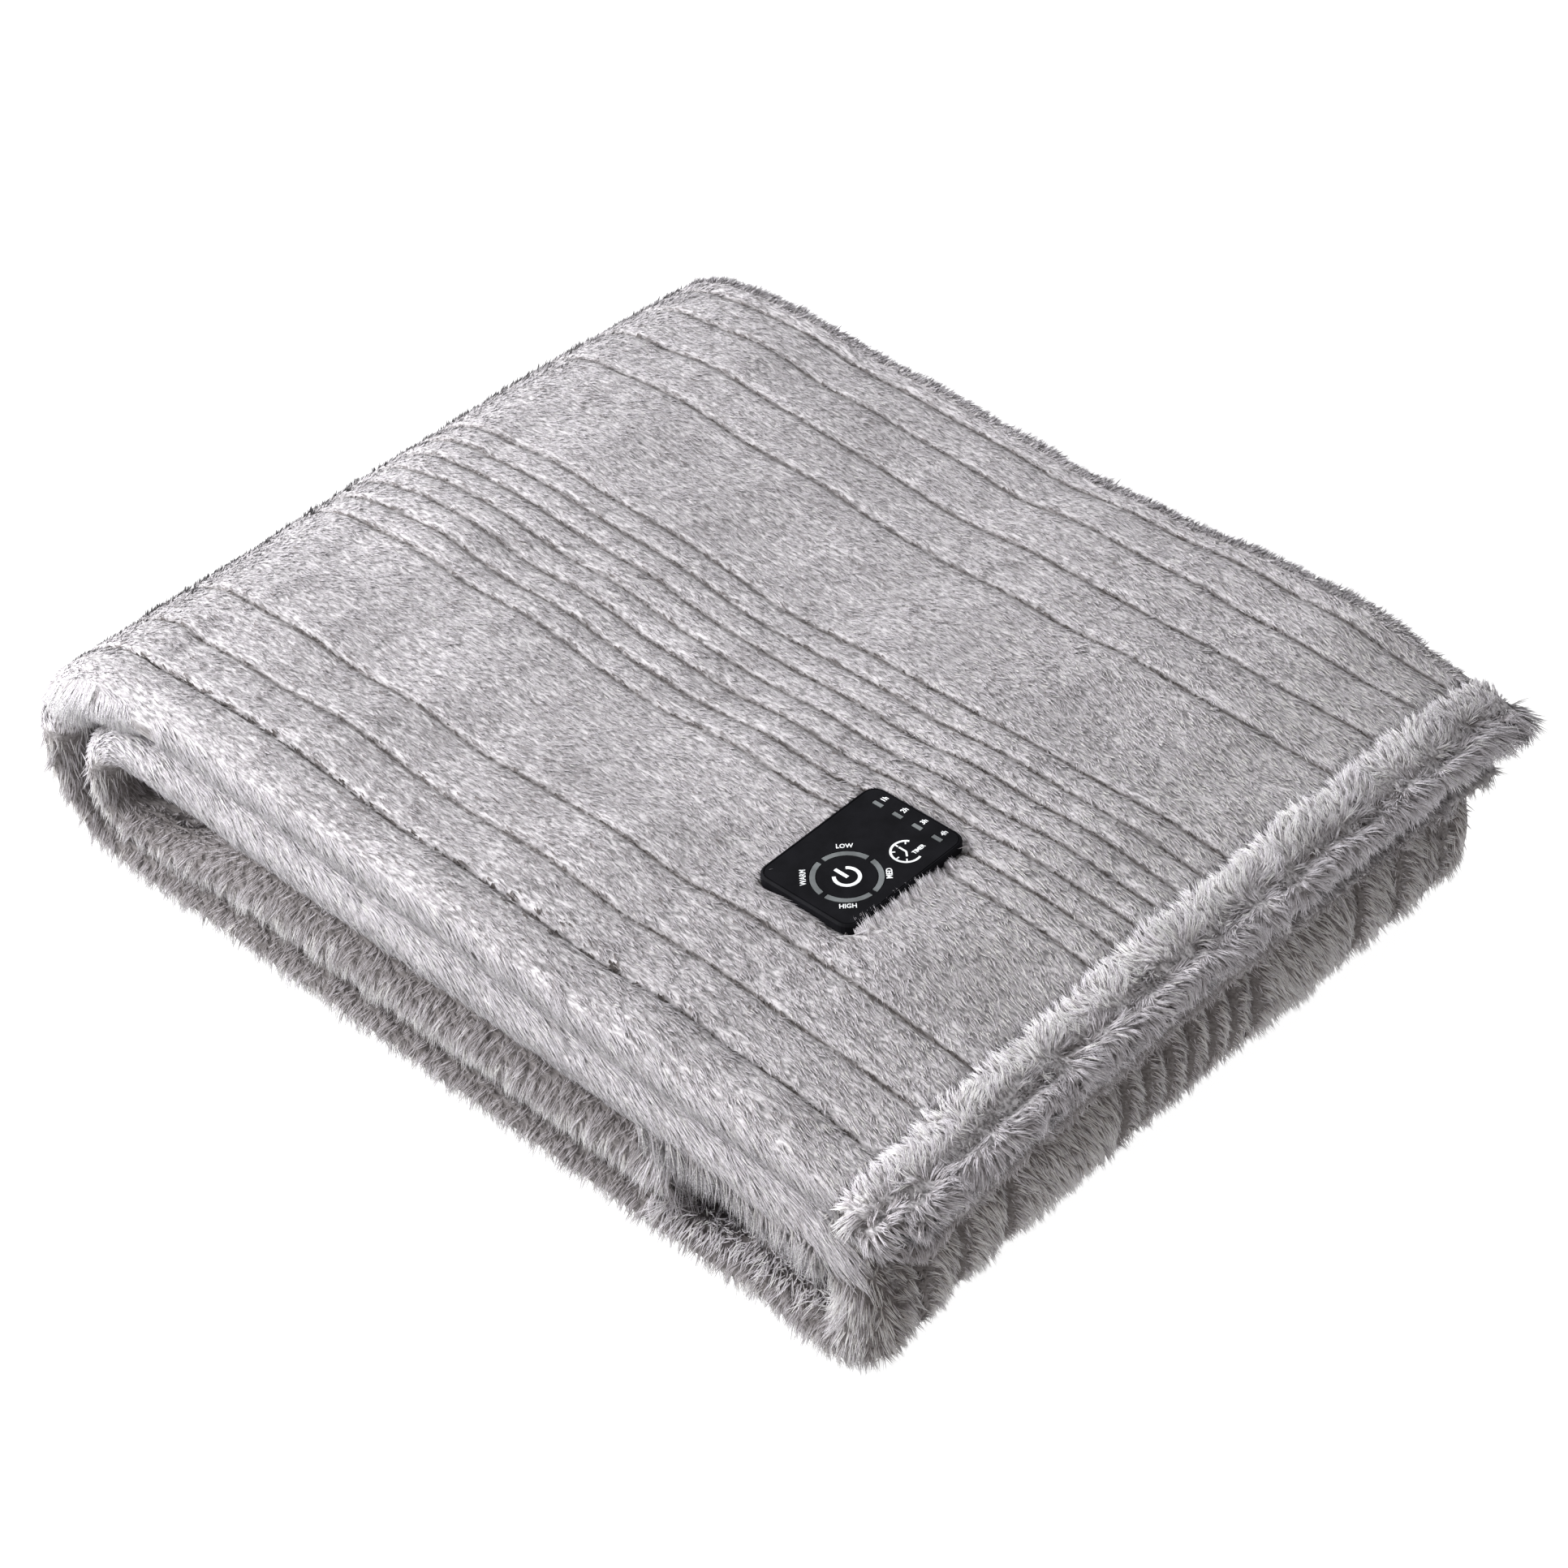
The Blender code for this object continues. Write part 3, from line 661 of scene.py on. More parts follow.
class Walk:
    """Points along one face of the folded sheet, as its middle line is followed."""

    def __init__(self):
        self.points = []
        self.run = 0.0
        self.y = HALF_WIDTH

    def flat(self, rows, n, up, puff, inset):
        """Follows the sheet across, at height n in the section."""
        for y, groove, thick in rows:
            self.run += abs(y - self.y)
            self.y = y
            self.points.append(Point(y, n, 0.0, up, self.run, groove, puff(y), inset(y), thick))

    def turn(self, y, n, radius, start, way, steps, puff, inset):
        """Follows the sheet around a fold whose middle is at y and n."""
        self.run += abs(y - self.y)
        self.y = y
        for k in range(steps + 1):
            share = k / steps
            angle = start + way * math.pi * share
            c, s = math.cos(angle), math.sin(angle)
            self.points.append(Point(y + radius * c, n + radius * s, way * c, way * s,
                                     self.run + radius * math.pi * share, 0, puff,
                                     inset(share), 1))
        self.run += radius * math.pi


def face(first):
    """One face of the section, from the top hem through both folds to the low hem."""
    near = spaced(TURN_Y + 0.003, TURN_Y + 0.018, 0.005)
    there = near + spaced(TURN_Y + 0.045, FOLD_Y - 0.035, 0.030)
    there += spaced(FOLD_Y - 0.016, FOLD_Y - 0.004, 0.006)
    back = there[::-1]
    low_hem = blunted(LOW_HEM_Y, -1)[::-1]
    low = [row for row in there if row[0] < LOW_HEM_Y - 0.006] + low_hem
    quarter = math.pi / 2
    none, full = (lambda y: 0.0), (lambda y: 1.0)
    walk = Walk()
    walk.flat(ribbed_rows() if first else blunted(HALF_WIDTH, -1) + back, OUTER_N, 1, full, none)
    walk.turn(TURN_Y, 0.0, OUTER_N, quarter, 1, 18 if first else 6, 1.0,
              lambda t: 0.6 * math.sin(math.pi * t))
    walk.flat(there, -OUTER_N, -1, lambda y: 1.0 if y < 0.05 else 0.0, none)
    walk.turn(FOLD_Y, -(OUTER_N + INNER_N) / 2, INNER_N, -quarter, 1, 8 if first else 3, 0.0,
              lambda t: 0.5 + 0.5 * t)
    walk.flat(back, -INNER_N, 1, none, full)
    walk.turn(TURN_Y, 0.0, INNER_N, -quarter, -1, 3 if first else 8, 0.0, full)
    walk.flat(low, INNER_N, -1, none, full)
    return np.array(walk.points)


FIRST = face(True)
SECOND = face(False)


def settle(x, y, z, even=True):
    """The stack's own unevenness, more toward the top, and its flare at the front corner."""
    def between(value, knots):
        value = np.clip(value, knots[0], knots[-1])
        index = np.clip(np.searchsorted(knots, value, side="right") - 1, 0, len(knots) - 2)
        low, high = np.take(knots, index), np.take(knots, index + 1)
        share = (value - low) / (high - low)
        return index, share * share * (3 - 2 * share) if even else share
    i, s = between(x, RISE_X)
    j, t = between(y, RISE_Y)
    rise = np.array(RISE)
    near = rise[j, i] * (1 - s) + rise[j, i + 1] * s
    far = rise[j + 1, i] * (1 - s) + rise[j + 1, i + 1] * s
    flare = CORNER_FLARE * smooth(x, 0.13, 0.20) * smooth(-y, 0.10, HALF_WIDTH) * (1 - z / STACK)
    tuck = BACK_TUCK * smooth(x, 0.10, 0.19) * smooth(y, 0.08, HALF_WIDTH) * (
        1 - smooth(z, SECOND_TOP, SECOND_TOP + LAYER_GAP))
    return x + flare, y - flare - tuck, z * (1 + (near * (1 - t) + far * t) / STACK)


def beside_panel(x, y):
    """Distance from the panel's rounded outline, below 0 inside it."""
    dx = np.abs(x - PANEL_AT[0]) - PANEL_SIZE[0] / 2 + PANEL_CORNER
    dy = np.abs(y - PANEL_AT[1]) - PANEL_SIZE[1] / 2 + PANEL_CORNER
    outside = np.hypot(np.maximum(dx, 0), np.maximum(dy, 0))
    return outside + np.minimum(np.maximum(dx, dy), 0) - PANEL_CORNER


def ribbed(edge):
    """0 on the hem and 1 on the ribbed cloth, by the distance from its cut edge."""
    return smooth(edge, HEM_WIDTH, HEM_WIDTH + 0.003)


def wander(x, y):
    """How far the grooves of the top swing from their straight lines."""
    return GROOVE_WANDER * waves(x, y * 0.25, 0.050, 9) * (
        smooth(y, TURN_Y, TURN_Y + 0.02) * smooth(-y, -HALF_WIDTH, -HALF_WIDTH + 0.02)
        * smooth(beside_panel(x, y), 0.0, 0.012))


def groove_gap(x, y, top):
    """Distance in y from the middle of the nearest groove of the outer sheet, below 0 in front
    of it, and whether that is the front-most groove."""
    x, y = x - CENTRE[0], y - CENTRE[1]
    lines = np.array(groove_lines())[:, None]
    gaps = y - lines - np.where(top & (x > LEFT_FOLD_X), wander(x, lines), 0.0)
    near = np.abs(gaps).argmin(0)
    return gaps[near, np.arange(len(x))], near == 0


def groove_half(x, y, first):
    """Half the width of the sheared line on the top: broad and even at the left, a crease
    toward the hem, dimples along the front-most one."""
    half = np.interp(x, (-0.03, 0.13), (0.0016, 0.00075))
    half = half * np.clip(0.95 + 0.45 * waves(x, 3 * y, 0.006, 49), 0.4, 1.5)
    turn = 2 * math.pi * (x - CENTRE[0] - DIMPLE_AT) / DIMPLE_PITCH + 0.5 * waves(x, 0, 0.02, 45)
    dimple = smooth(np.cos(turn), -0.1, 0.8) * np.interp(
        x, (-0.02, 0.02, 0.065, 0.075), (0.5, 2.4, 2.8, 0.7))
    return half * np.where(first, np.interp(x, (-0.03, 0.0), (0.7, 0.2)) + dimple, 1.0)


def slanted(x, z):
    """How far out a point of the hem lies, as the parting counts it."""
    return x - CENTRE[0] - SEAM_SLANT * z


def past_seam(x, y, z):
    """Distance beyond the hem's parting, below 0 on the welt."""
    return (slanted(x, z) - np.interp(y - CENTRE[1], SEAM_Y, SEAM_X)
            + 0.0013 * waves(y, 0, 0.010, 41))


def face_at(points, first, run, swell):
    """World points of one face of the section at a station."""
    p = Point(*points.T)
    place = run + p.inset * HEM_LIP * max(0.0, 1 - run / LIP_RUN)
    x, z, nx, nz, share = [np.interp(place, RUN, PATH[:, k]) for k in range(5)]
    edge = min(run, CUT_LENGTH - run)
    puffed = 1 - smooth(place, 0.004, HEM_LIP - 0.002)
    puff = p.puff * puffed * (OUTER_N - SHEET / 2 - SHEET_GAP)
    half = (SHEET + puff) / 2 * float(np.interp(edge, *END_ROUNDING)) * p.thick
    bedded = min(1.0, edge / BED_RUN)
    y = p.y
    if first:
        rise = WELT_RISE * math.sin(math.pi * min(run / HEM_WIDTH, 1.0))
        stitch = STITCH_DENT * max(0.0, 1 - abs(run - HEM_WIDTH) / STITCH_HALF)
        off = -puff / 2 + half - PILE_BED * bedded
        turned = smooth(run, BENDS[2], BENDS[2] + 0.02) * (
            1 - smooth(run, BENDS[3] - 0.02, BENDS[3]))
        depth = GROOVE_DEPTH + (FOLD_GROOVE - GROOVE_DEPTH) * turned
        depth = depth + (y < FRONT_LINE) * FRONT_DEEPER * (1 - turned)
        off = off - depth * float(ribbed(edge)) * p.groove + p.puff * (rise - stitch)
        top = (p.n > OUTER_N * 0.9) & (run < BENDS[0])
        pit = 1 - smooth(beside_panel(x, y), PIT_FLAT, PIT_EDGE)
        off = off - np.where(top, pit, 0) * (PANEL_SUNK + PIT_FLAT - PILE_BED)
        off = off + np.where(top, 1 - pit, 0) * swell * waves(x, y, 0.030, 5)
        y = y + np.where(top, wander(x, y), 0)
    else:
        off = -puff / 2 - half + INNER_BED * bedded
    n = (p.n + p.nn * off) * share
    y = y + p.ny * off
    world = np.column_stack(settle(x + nx * n, y, z + nz * n)) + (CENTRE[0], CENTRE[1], 0.0)
    if first and run < HEM_WIDTH:
        dent = SEAM_DENT * bell(past_seam(*world.T), 0.0018) * (p.nn > 0)
        world = world - dent[:, None] * np.column_stack([nx * p.nn, p.ny, nz * p.nn])
    return world


def strip(runs_a, runs_b, start_b):
    """Triangles between the two faces of one station, by their runs."""
    faces, a, b = [], 0, 0
    while a < len(runs_a) - 1 or b < len(runs_b) - 1:
        if a < len(runs_a) - 1 and (b == len(runs_b) - 1 or runs_a[a + 1] <= runs_b[b + 1]):
            faces.append((a, a + 1, start_b + b))
            a += 1
        else:
            faces.append((a, start_b + b + 1, start_b + b))
            b += 1
    return faces


def mark_ground(mesh, points, runs):
    """Marks the sheared grooves, and the painted shade of the ground: in the grooves, in the hem's parting and where
    the ground lies in shade.
    """
    x, y, z = points.T
    grooves = np.concatenate([FIRST[:, 5], np.zeros(len(SECOND))])
    shade = np.outer(ribbed(np.minimum(runs, CUT_LENGTH - runs)), grooves).ravel()
    broken = np.where(y < FRONT_LINE + CENTRE[1], 0.45 + 0.75 * waves(x, 3 * y, 0.012, 44),
                      0.90 + 0.30 * waves(x, 3 * y, 0.010, 43))
    shade *= np.clip(broken, 0.15, 1.0)
    nx, ny, nz = values_of(mesh.vertex_normals, "vector", 3).T
    # painted shade: each vertex keeps the darkest of these, toward the groove colour
    painted_shade = np.zeros(len(x))
    for where, value in (
            ((z < 0.045) & (nx > -0.3), 0.8),                   # lower half but the left fold
            ((nx > 0.5) & (x > 0.15) & (z < 0.066), 0.85),      # right fold
            ((ny < -0.3) & (nz < 0.1), 0.6),                    # front
            ((x > 0.19) & (nz < 0.3), 0.7),                     # hem's side
            (x > 0.185, bell(past_seam(x, y, z), SEAM_HALF)),   # hem's parting
            (shade > 0, shade ** 1.5 * np.interp(x, (-0.05, 0.12), (0.70, 0.95)))):
        painted_shade = np.maximum(painted_shade, np.where(where, value, 0.0))
    set_values(mesh, "groove", shade)
    set_values(mesh, "painted_shade", painted_shade)


def weave_cloth(cloth):
    """The whole folded sheet as one closed mesh, its grooves and shaded ground marked."""
    runs = stations()
    rings = [np.vstack([face_at(FIRST, True, s, cloth.swell),
                        face_at(SECOND, False, s, cloth.swell)[::-1]]) for s in runs]
    count, rows = len(rings[0]), len(rings)
    k, j = np.meshgrid(np.arange(rows - 1), np.arange(count), indexing="ij")
    i = (j + 1) % count
    quads = np.stack([k * count + j, k * count + i, (k + 1) * count + i, (k + 1) * count + j], -1)
    order = np.concatenate([np.arange(len(FIRST)), np.arange(count - 1, len(FIRST) - 1, -1)])
    cap = order[np.array(strip(FIRST[:, 4], SECOND[:, 4], len(FIRST)))]
    tris = np.vstack([cap, cap[:, ::-1] + (rows - 1) * count])
    corners = np.concatenate([quads.reshape(-1), tris.reshape(-1)])
    counts = [4] * (quads.size // 4) + [3] * len(tris)
    points = np.vstack(rings)
    made = mesh_object("cloth", points, corners, counts, ground_finish(cloth))
    body = bmesh.new()
    body.from_mesh(made.data)
    bmesh.ops.recalc_face_normals(body, faces=body.faces)
    if body.calc_volume(signed=True) < 0:
        bmesh.ops.reverse_faces(body, faces=body.faces)
    body.to_mesh(made.data)
    body.free()
    mark_ground(made.data, points, runs)
    return made


# --- the pile

class Ground:
    """The cloth's triangles with what the pile needs to know about each."""

    def __init__(self, cloth):
        mesh = cloth.data
        mesh.calc_loop_triangles()
        self.points = values_of(mesh.vertices, "co", 3).astype(float)
        self.normals = values_of(mesh.vertex_normals, "vector", 3).astype(float)
        self.tris = values_of(mesh.loop_triangles, "vertices", 3, np.int32)
        self.shade = values_of(mesh.attributes["groove"].data, "value", 1)[:, 0]
        ring, runs = len(FIRST) + len(SECOND), stations()
        self.run = np.repeat(runs, ring)
        height = np.vstack([FIRST, SECOND[::-1]])[:, 1]
        self.side = np.tile(np.sign(height), len(runs))     # above or below the section's middle
        rings = self.points.reshape(len(runs), ring, 3)
        before, after = np.roll(rings, 1, axis=0), np.roll(rings, -1, axis=0)
        before[0], after[-1] = rings[0], rings[-1]
        self.lay = unit((before - after).reshape(-1, 3))    # the pile lies toward the hem
        a, b, c = (self.points[self.tris[:, k]] for k in range(3))
        cross = np.cross(b - a, c - a)
        self.area = np.linalg.norm(cross, axis=1) / 2
        self.flat = unit(cross)
        self.middle = (a + b + c) / 3
        self.tree = BVHTree.FromPolygons(self.points.tolist(), self.tris.tolist())
        self.open, self.room = self.exposure()
        self.seam = self.parting()

    def parting(self):
        """Points of the cloth along the hem's parting, where upper and lower pile divide."""
        points = []
        for y in np.linspace(-0.161, 0.162, 160):
            x = float(np.interp(y, SEAM_Y, SEAM_X)) + CENTRE[0]
            start = Vector((x + SEAM_SLANT * 0.2, y + CENTRE[1], 0.2))
            hit = self.tree.ray_cast(start, Vector((-SEAM_SLANT, 0.0, -1.0)).normalized())[0]
            if hit is not None:
                points.append(hit)
        tree = KDTree(len(points))
        for number, point in enumerate(points):
            tree.insert(point, number)
        tree.balance()
        return tree

    def exposure(self):
        """Share of rays from each triangle that leave the stack, and the room above it."""
        share, room = np.zeros(len(self.tris)), np.zeros(len(self.tris))
        helper = np.where(np.abs(self.flat[:, 2:]) < 0.9, [[0, 0, 1.0]], [[1.0, 0, 0]])
        side = unit(np.cross(self.flat, helper))
        other = np.cross(self.flat, side)
        ways = [self.flat]
        for tilt, turns in ((1.2, 5), (3.0, 6)):
            for turn in np.arange(turns) * 2 * math.pi / turns + tilt:
                ways.append(unit(self.flat + tilt * (side * math.cos(turn)
                                                     + other * math.sin(turn))))
        starts = self.middle + self.flat * 0.0004
        for index in range(len(self.tris)):
            start, free = Vector(starts[index]), 0
            for number, way in enumerate(ways):
                aim = way[index]
                hit = self.tree.ray_cast(start, Vector(aim), RAY_REACH)[3]
                floor = -starts[index][2] / aim[2] if aim[2] < -1e-6 else 1.0
                if number == 0:
                    room[index] = min(hit if hit is not None else 1.0, floor)
                    if room[index] < PRESSED:
                        break
                if hit is None and floor > FLOOR_FAR:
                    free += 1
            share[index] = free / len(ways)
        return share, room


def hair_mesh(name, root, up, aim, length, width, tones, material, bend=None):
    """Joined mesh of tapered hairs, each closed: a foot of three points and a tip.

    With a bend each hair is a spindle instead, thickest before its middle, that curves."""
    count = len(root)
    side = unit(np.cross(aim, up + 0.01))
    other = np.cross(aim, side)
    turn = np.arange(3) * 2 * math.pi / 3
    ring = (np.cos(turn)[None, :, None] * side[:, None] + np.sin(turn)[None, :, None]
            * other[:, None])
    round_normal = unit(ring * 0.6 + up[:, None])
    wide = width[:, None, None] / 2
    tip_normal = unit(up + 0.35 * aim)[:, None]
    if bend is None:
        parts = [root[:, None] + ring * wide, (root + aim * length[:, None])[:, None]]
        normals = [round_normal, tip_normal]
        faces = np.array([(0, 2, 1), (0, 1, 3), (1, 2, 3), (2, 0, 3)])
        colours = [np.repeat(tones[0][:, None], 3, 1), tones[1][:, None]]
    else:
        belly = root + aim * (length * 0.42)[:, None]
        tip = belly + unit(aim + bend) * (length * 0.58)[:, None]
        parts = [root[:, None], belly[:, None] + ring * wide, tip[:, None]]
        normals = [up[:, None], round_normal, tip_normal]
        faces = np.array([(0, 2, 1), (0, 3, 2), (0, 1, 3), (1, 2, 4), (2, 3, 4), (3, 1, 4)])
        middle = tones[0] * 0.5 + tones[1] * 0.5
        colours = [tones[0][:, None], np.repeat(middle[:, None], 3, 1), tones[1][:, None]]
    verts = np.concatenate(parts, 1)
    per = verts.shape[1]
    verts = verts.reshape(-1, 3)
    verts[:, 2] = np.maximum(verts[:, 2], 0.0003)
    corners = (faces[None] + (np.arange(count) * per)[:, None, None]).reshape(-1)
    made = mesh_object(name, verts, corners, np.full(count * len(faces), 3), material)
    tint = np.ones((count * per, 4), np.float32)
    tint[:, :3] = np.concatenate(colours, 1).reshape(-1, 3)
    made.data.color_attributes.new("tint", "FLOAT_COLOR", "POINT").data.foreach_set(
        "color", tint.ravel())
    made.data.normals_split_custom_set_from_vertices(
        np.concatenate(normals, 1).reshape(-1, 3).tolist())
    return made


# A patch of pile: how many hairs, their length as a share of the short and of the long pile,
# the way they are combed (None: along the fold toward the hem), how far they stand up and
# stray, how much they gather into locks of a size, how much of the tip's colour their foot
# has (the rest is the dark root's painted shade), the patch's shade (painted light and shade:
# one brightness for all its hairs, set for how the lamps light that part), and the hairs'
# width and curve.
Patch = namedtuple("Patch", "name hairs short long comb lift stray gather lock foot shade wide "
                            "curve")
DOWN = (0.30, -0.10, -1.0)
ALONG = (1.0, 0.0, -0.45)
OUT = (0.0, 0.0, -1.0)
SIDE = (-0.2, -0.2, -1.0)
BACK = (0.0, 0.2, -1.0)
OVER = (-1.0, 0.25, 0.0)
MOUTH = (0.7, -0.7, -0.5)
DRAPE = (0.35, -0.1, -1.0)
PATCHES = [Patch(*row) for row in (
    ("pile_top_left", 26500, 0.9, 0, None, 0.22, 0.10, 0.25, 0.0018, 0.30, 0.97, 0.94, 0),
    ("pile_top_middle", 27000, 0.9, 0, None, 0.22, 0.10, 0.25, 0.0018, 0.28, 0.98, 0.94, 0),
    ("pile_top_right", 29500, 1.1, 0, None, 0.26, 0.11, 0.42, 0.0024, 0.24, 1.06, 0.94, 0),
    ("pile_top_edge", 4000, 0.85, 0, None, 0.70, 0.20, 0.30, 0.0020, 0.30, 1.02, 0.75, 0),
    ("pile_welt", 12000, 0, 0.72, None, 0.60, 0.16, 0.65, 0.0040, 0.18, 1.22, 0.55, 0.25),
    ("pile_hem", 13000, 0, 0.82, None, 0.42, 0.16, 0.65, 0.0042, 0.26, 0.97, 0.58, 0.25),
    ("pile_lip", 6500, 0, 0.60, None, 0.40, 0.20, 0.50, 0.0036, 0.25, 0.95, 0.7, 0),
    ("pile_mouth", 6500, 0, 1.15, MOUTH, 0.65, 0.22, 0.35, 0.0034, 0.35, 1.12, 0.75, 0),
    ("pile_left_drape", 3400, 0, 1.15, DRAPE, 0.25, 0.09, 0.20, 0.0030, 0.55, 1.16, 0.75, 0),
    ("pile_front_rolls", 23000, 1.60, 0, ALONG, 0.16, 0.08, 0.35, 0.0030, 0.42, 1.05, 0.74, 0),
    ("pile_front_layers", 20500, 0, 0.72, DOWN, 0.42, 0.15, 0.60, 0.0034, 0.22, 1.42, 0.58, 0),
    ("pile_right_fold", 22500, 0, 0.56, OUT, 0.95, 0.14, 0.62, 0.0032, 0.04, 1.46, 0.62, 0),
    ("pile_left_fold", 10000, 1.05, 0, SIDE, 0.30, 0.12, 0.30, 0.0026, 0.28, 0.97, 1.0, 0),
    ("pile_back", 6000, 1.0, 0.1, BACK, 0.45, 0.20, 0.50, 0.0036, 0.25, 0.95, 1.0, 0),
    ("pile_over_panel", 1300, 0, 0.66, OVER, 0.40, 0.18, 0.45, 0.0026, 0.40, 1.02, 0.6, 0),
)]


def patch_of(ground):
    """Number of the patch that each triangle belongs to, or -1 where no pile shows."""
    x, y, z = ground.middle.T
    nx, ny, nz = ground.flat.T
    run = ground.run[ground.tris].mean(1)
    names = [patch.name for patch in PATCHES]
    found = np.full(len(x), -1)
    in_sight = (ground.open > 0.01) & ~((nz < -0.80) & (z < 0.02))

    def give(name, where):
        """To this patch goes what no earlier one took."""
        found[(found < 0) & in_sight & where] = names.index(name)

    end = (((run < HEM_WIDTH + 0.001) & (nz > -0.2)) | (run < 0.012)) & (x > 0.16)
    give("pile_lip", end & (ground.side[ground.tris].mean(1) < 0) & (y > -0.140))
    give("pile_welt", end & (past_seam(x, y, z) < 0))
    give("pile_hem", end)
    edge = x - CENTRE[0] - PANEL_AT[0] - PANEL_SIZE[0] / 2
    beside = y - CENTRE[1] - PANEL_AT[1]
    give("pile_over_panel", (edge > 0.0004) & (edge < 0.0045) & (nz > 0.62) & (z > TOP_Z)
         & (beside > -0.0278) & (beside < 0.019))
    give("pile_mouth", (x > 0.096) & (x < 0.172) & (y < -0.098) & (z > 0.011) & (z < 0.049)
         & ((ny > -0.6) | (z > 0.034)))
    give("pile_left_drape", (x < -0.138) & (ny < -0.20) & (z > 0.054) & (nz < 0.55)
         & (run < BENDS[0] + 0.030))
    back_edge = y > HALF_WIDTH + CENTRE[1] - 0.0045
    give("pile_top_edge", back_edge & (nz > -0.3) & (z > 0.070) & (run < BENDS[0] + 0.02))
    give("pile_back", (((ny > 0.35) & (nz < 0.85)) | back_edge) & (y > 0.1))
    front_groove = (nz > 0.25) & (y > -0.1455) & (y < -0.130)
    upper = ((nz > 0.62) | front_groove) & (z > TOP_Z) & ((run < BENDS[1]) | (y > -0.05))
    ragged = 0.25 * waves(y, 0, 0.008, 71)
    give("pile_left_fold", (nx < -0.65 + ragged) & (x < -0.12) & (run < BENDS[1]))
    give("pile_top_left", upper & (x < -0.075))
    give("pile_top_middle", upper & (x < 0.050))
    give("pile_top_right", upper)
    give("pile_left_fold", (nx < -0.50) & (x < -0.12))
    give("pile_right_fold", (x > 0.12) & ((nx > 0.45) | ((x > 0.170) & (ny > -0.5))))
    give("pile_front_rolls", ((ny < -0.15) | (nz > 0.5)) & (z > 0.044) & (y < -0.05))
    give("pile_front_layers", y < 0.0)
    give("pile_back", np.full(len(x), True))
    return found


class Hairs:
    """A patch's hairs: where they stand on the cloth, and what is done to them."""

    def __init__(self, ground, patch, mine, rng):
        weight = ground.area[mine] * np.clip(ground.open[mine] * 1.8, 0.50, 1.0)
        pick = mine[rng.choice(len(mine), patch.hairs, p=weight / weight.sum())]
        a, b = rng.random((2, patch.hairs))
        fold = a + b > 1
        a, b = np.where(fold, 1 - a, a), np.where(fold, 1 - b, b)
        shares = np.stack([1 - a - b, a, b], 1)
        corners = ground.tris[pick]

        def at(values):
            """Values of the cloth's vertices at the hairs' roots."""
            near = values[corners]
            return (near * shares.reshape(shares.shape + (1,) * (near.ndim - 2))).sum(1)

        self.root, self.up, self.lay = at(ground.points), unit(at(ground.normals)), at(ground.lay)
        self.groove, self.run = at(ground.shade), at(ground.run)
        self.open, self.room = ground.open[pick], ground.room[pick]
        self.x, self.y, self.z = self.root.T
        self.part = 0.0     # how far the hairs turn aside along Y

    def uneven(self, size, seed):
        """Uneven field over the patch, the same for hairs that stand together."""
        return waves(self.x, self.y + self.z, size, seed)


def part_hem(hair, patch, rng):
    """Painted shade in the parting and the crease and on the shorter hairs below the fringe, and painted light on the
    lip toward the far corner.
    """
    x, y, z = hair.x, hair.y, hair.z
    past = past_seam(x, y, z)
    # painted shade: the hairs are drawn dark along the parting and the crease
    seam = 1.5 * bell(past, SEAM_HALF) * np.clip(0.75 + 0.6 * waves(y, 0, 0.008, 42), 0.2, 1.2)
    run = hair.run + 0.0016 * waves(y, 0, 0.009, 47)
    crease = bell(run - HEM_WIDTH, 0.0022) * np.clip(
        0.50 + 0.6 * waves(y, 0, 0.010, 46), 0.1, 1.0)
    hair.dark = np.maximum(np.maximum(hair.dark * 0.6, seam), crease * (past < 0))
    far = smooth(y, 0.10, 0.14)     # toward the hem's far corner
    # painted shade on the hairs below the fringe, less toward the far corner
    under = smooth(slanted(x, z) - np.interp(y, FRINGE_Y, FRINGE_X), -0.001, 0.003)
    under = under * (1 - far)
    hair.tone *= 1 + 0.10 * waves(x + y, z, 0.005, 26)
    hair.tone *= 1 - 0.35 * under
    # painted light: the lip is drawn lighter toward the far corner
    if patch.name == "pile_lip":
        hair.tone *= 1 + 0.45 * far
    hair.length *= 1 - 0.25 * under
    hair.length *= 1 + smooth(y, 0.135, 0.160) * np.where(past < 0, -0.35, 0.30)
    to_crease = np.maximum(1.2 * (HEM_WIDTH - run) + 0.0040, 0.0025)
    hair.length = np.where(past < 0, np.minimum(hair.length, to_crease), hair.length)


def shear_top(hair, patch, rng):
    """Painted shade along the sheared lines and one faint wrinkle, and painted light and shade on the top: lighter
    toward the hem and darker in front.
    """
    x, y = hair.x, hair.y
    gap, first = groove_gap(x, y, True)
    line = bell(gap, groove_half(x, y, first)) * np.interp(
        x, (-0.03, 0.12), (1.25, 1.85)) * np.where(first, 1.5, 1.0)
    away = y - CENTRE[1] - WRINKLE_Y + 0.0014 * waves(x, 0, 0.030, 48)
    wrinkle = bell(away, 0.0007) * smooth(WRINKLE_END - x, 0.0, 0.01)
    hair.dark = np.maximum(line, 0.8 * wrinkle)
    # painted light toward the hem, painted shade in front
    hair.tone *= 1 + 0.16 * smooth(x, 0.10, 0.17) - 0.10 * smooth(-y, 0.06, 0.10)


def shear_right_fold(hair, patch, rng):
    """Painted shade in the valleys between the fold's ribs, from which the hairs part, and dark flecks."""
    gap, _ = groove_gap(hair.x, hair.y, False)
    hair.dark = 1.7 * bell(gap, 0.0026)
    hair.part = 1.1 * np.sign(gap) * bell(gap, 0.0050)
    hair.tone *= np.where(waves(hair.x + hair.y, hair.z, 0.0022, 29) > 0.7, 0.60, 1.04)


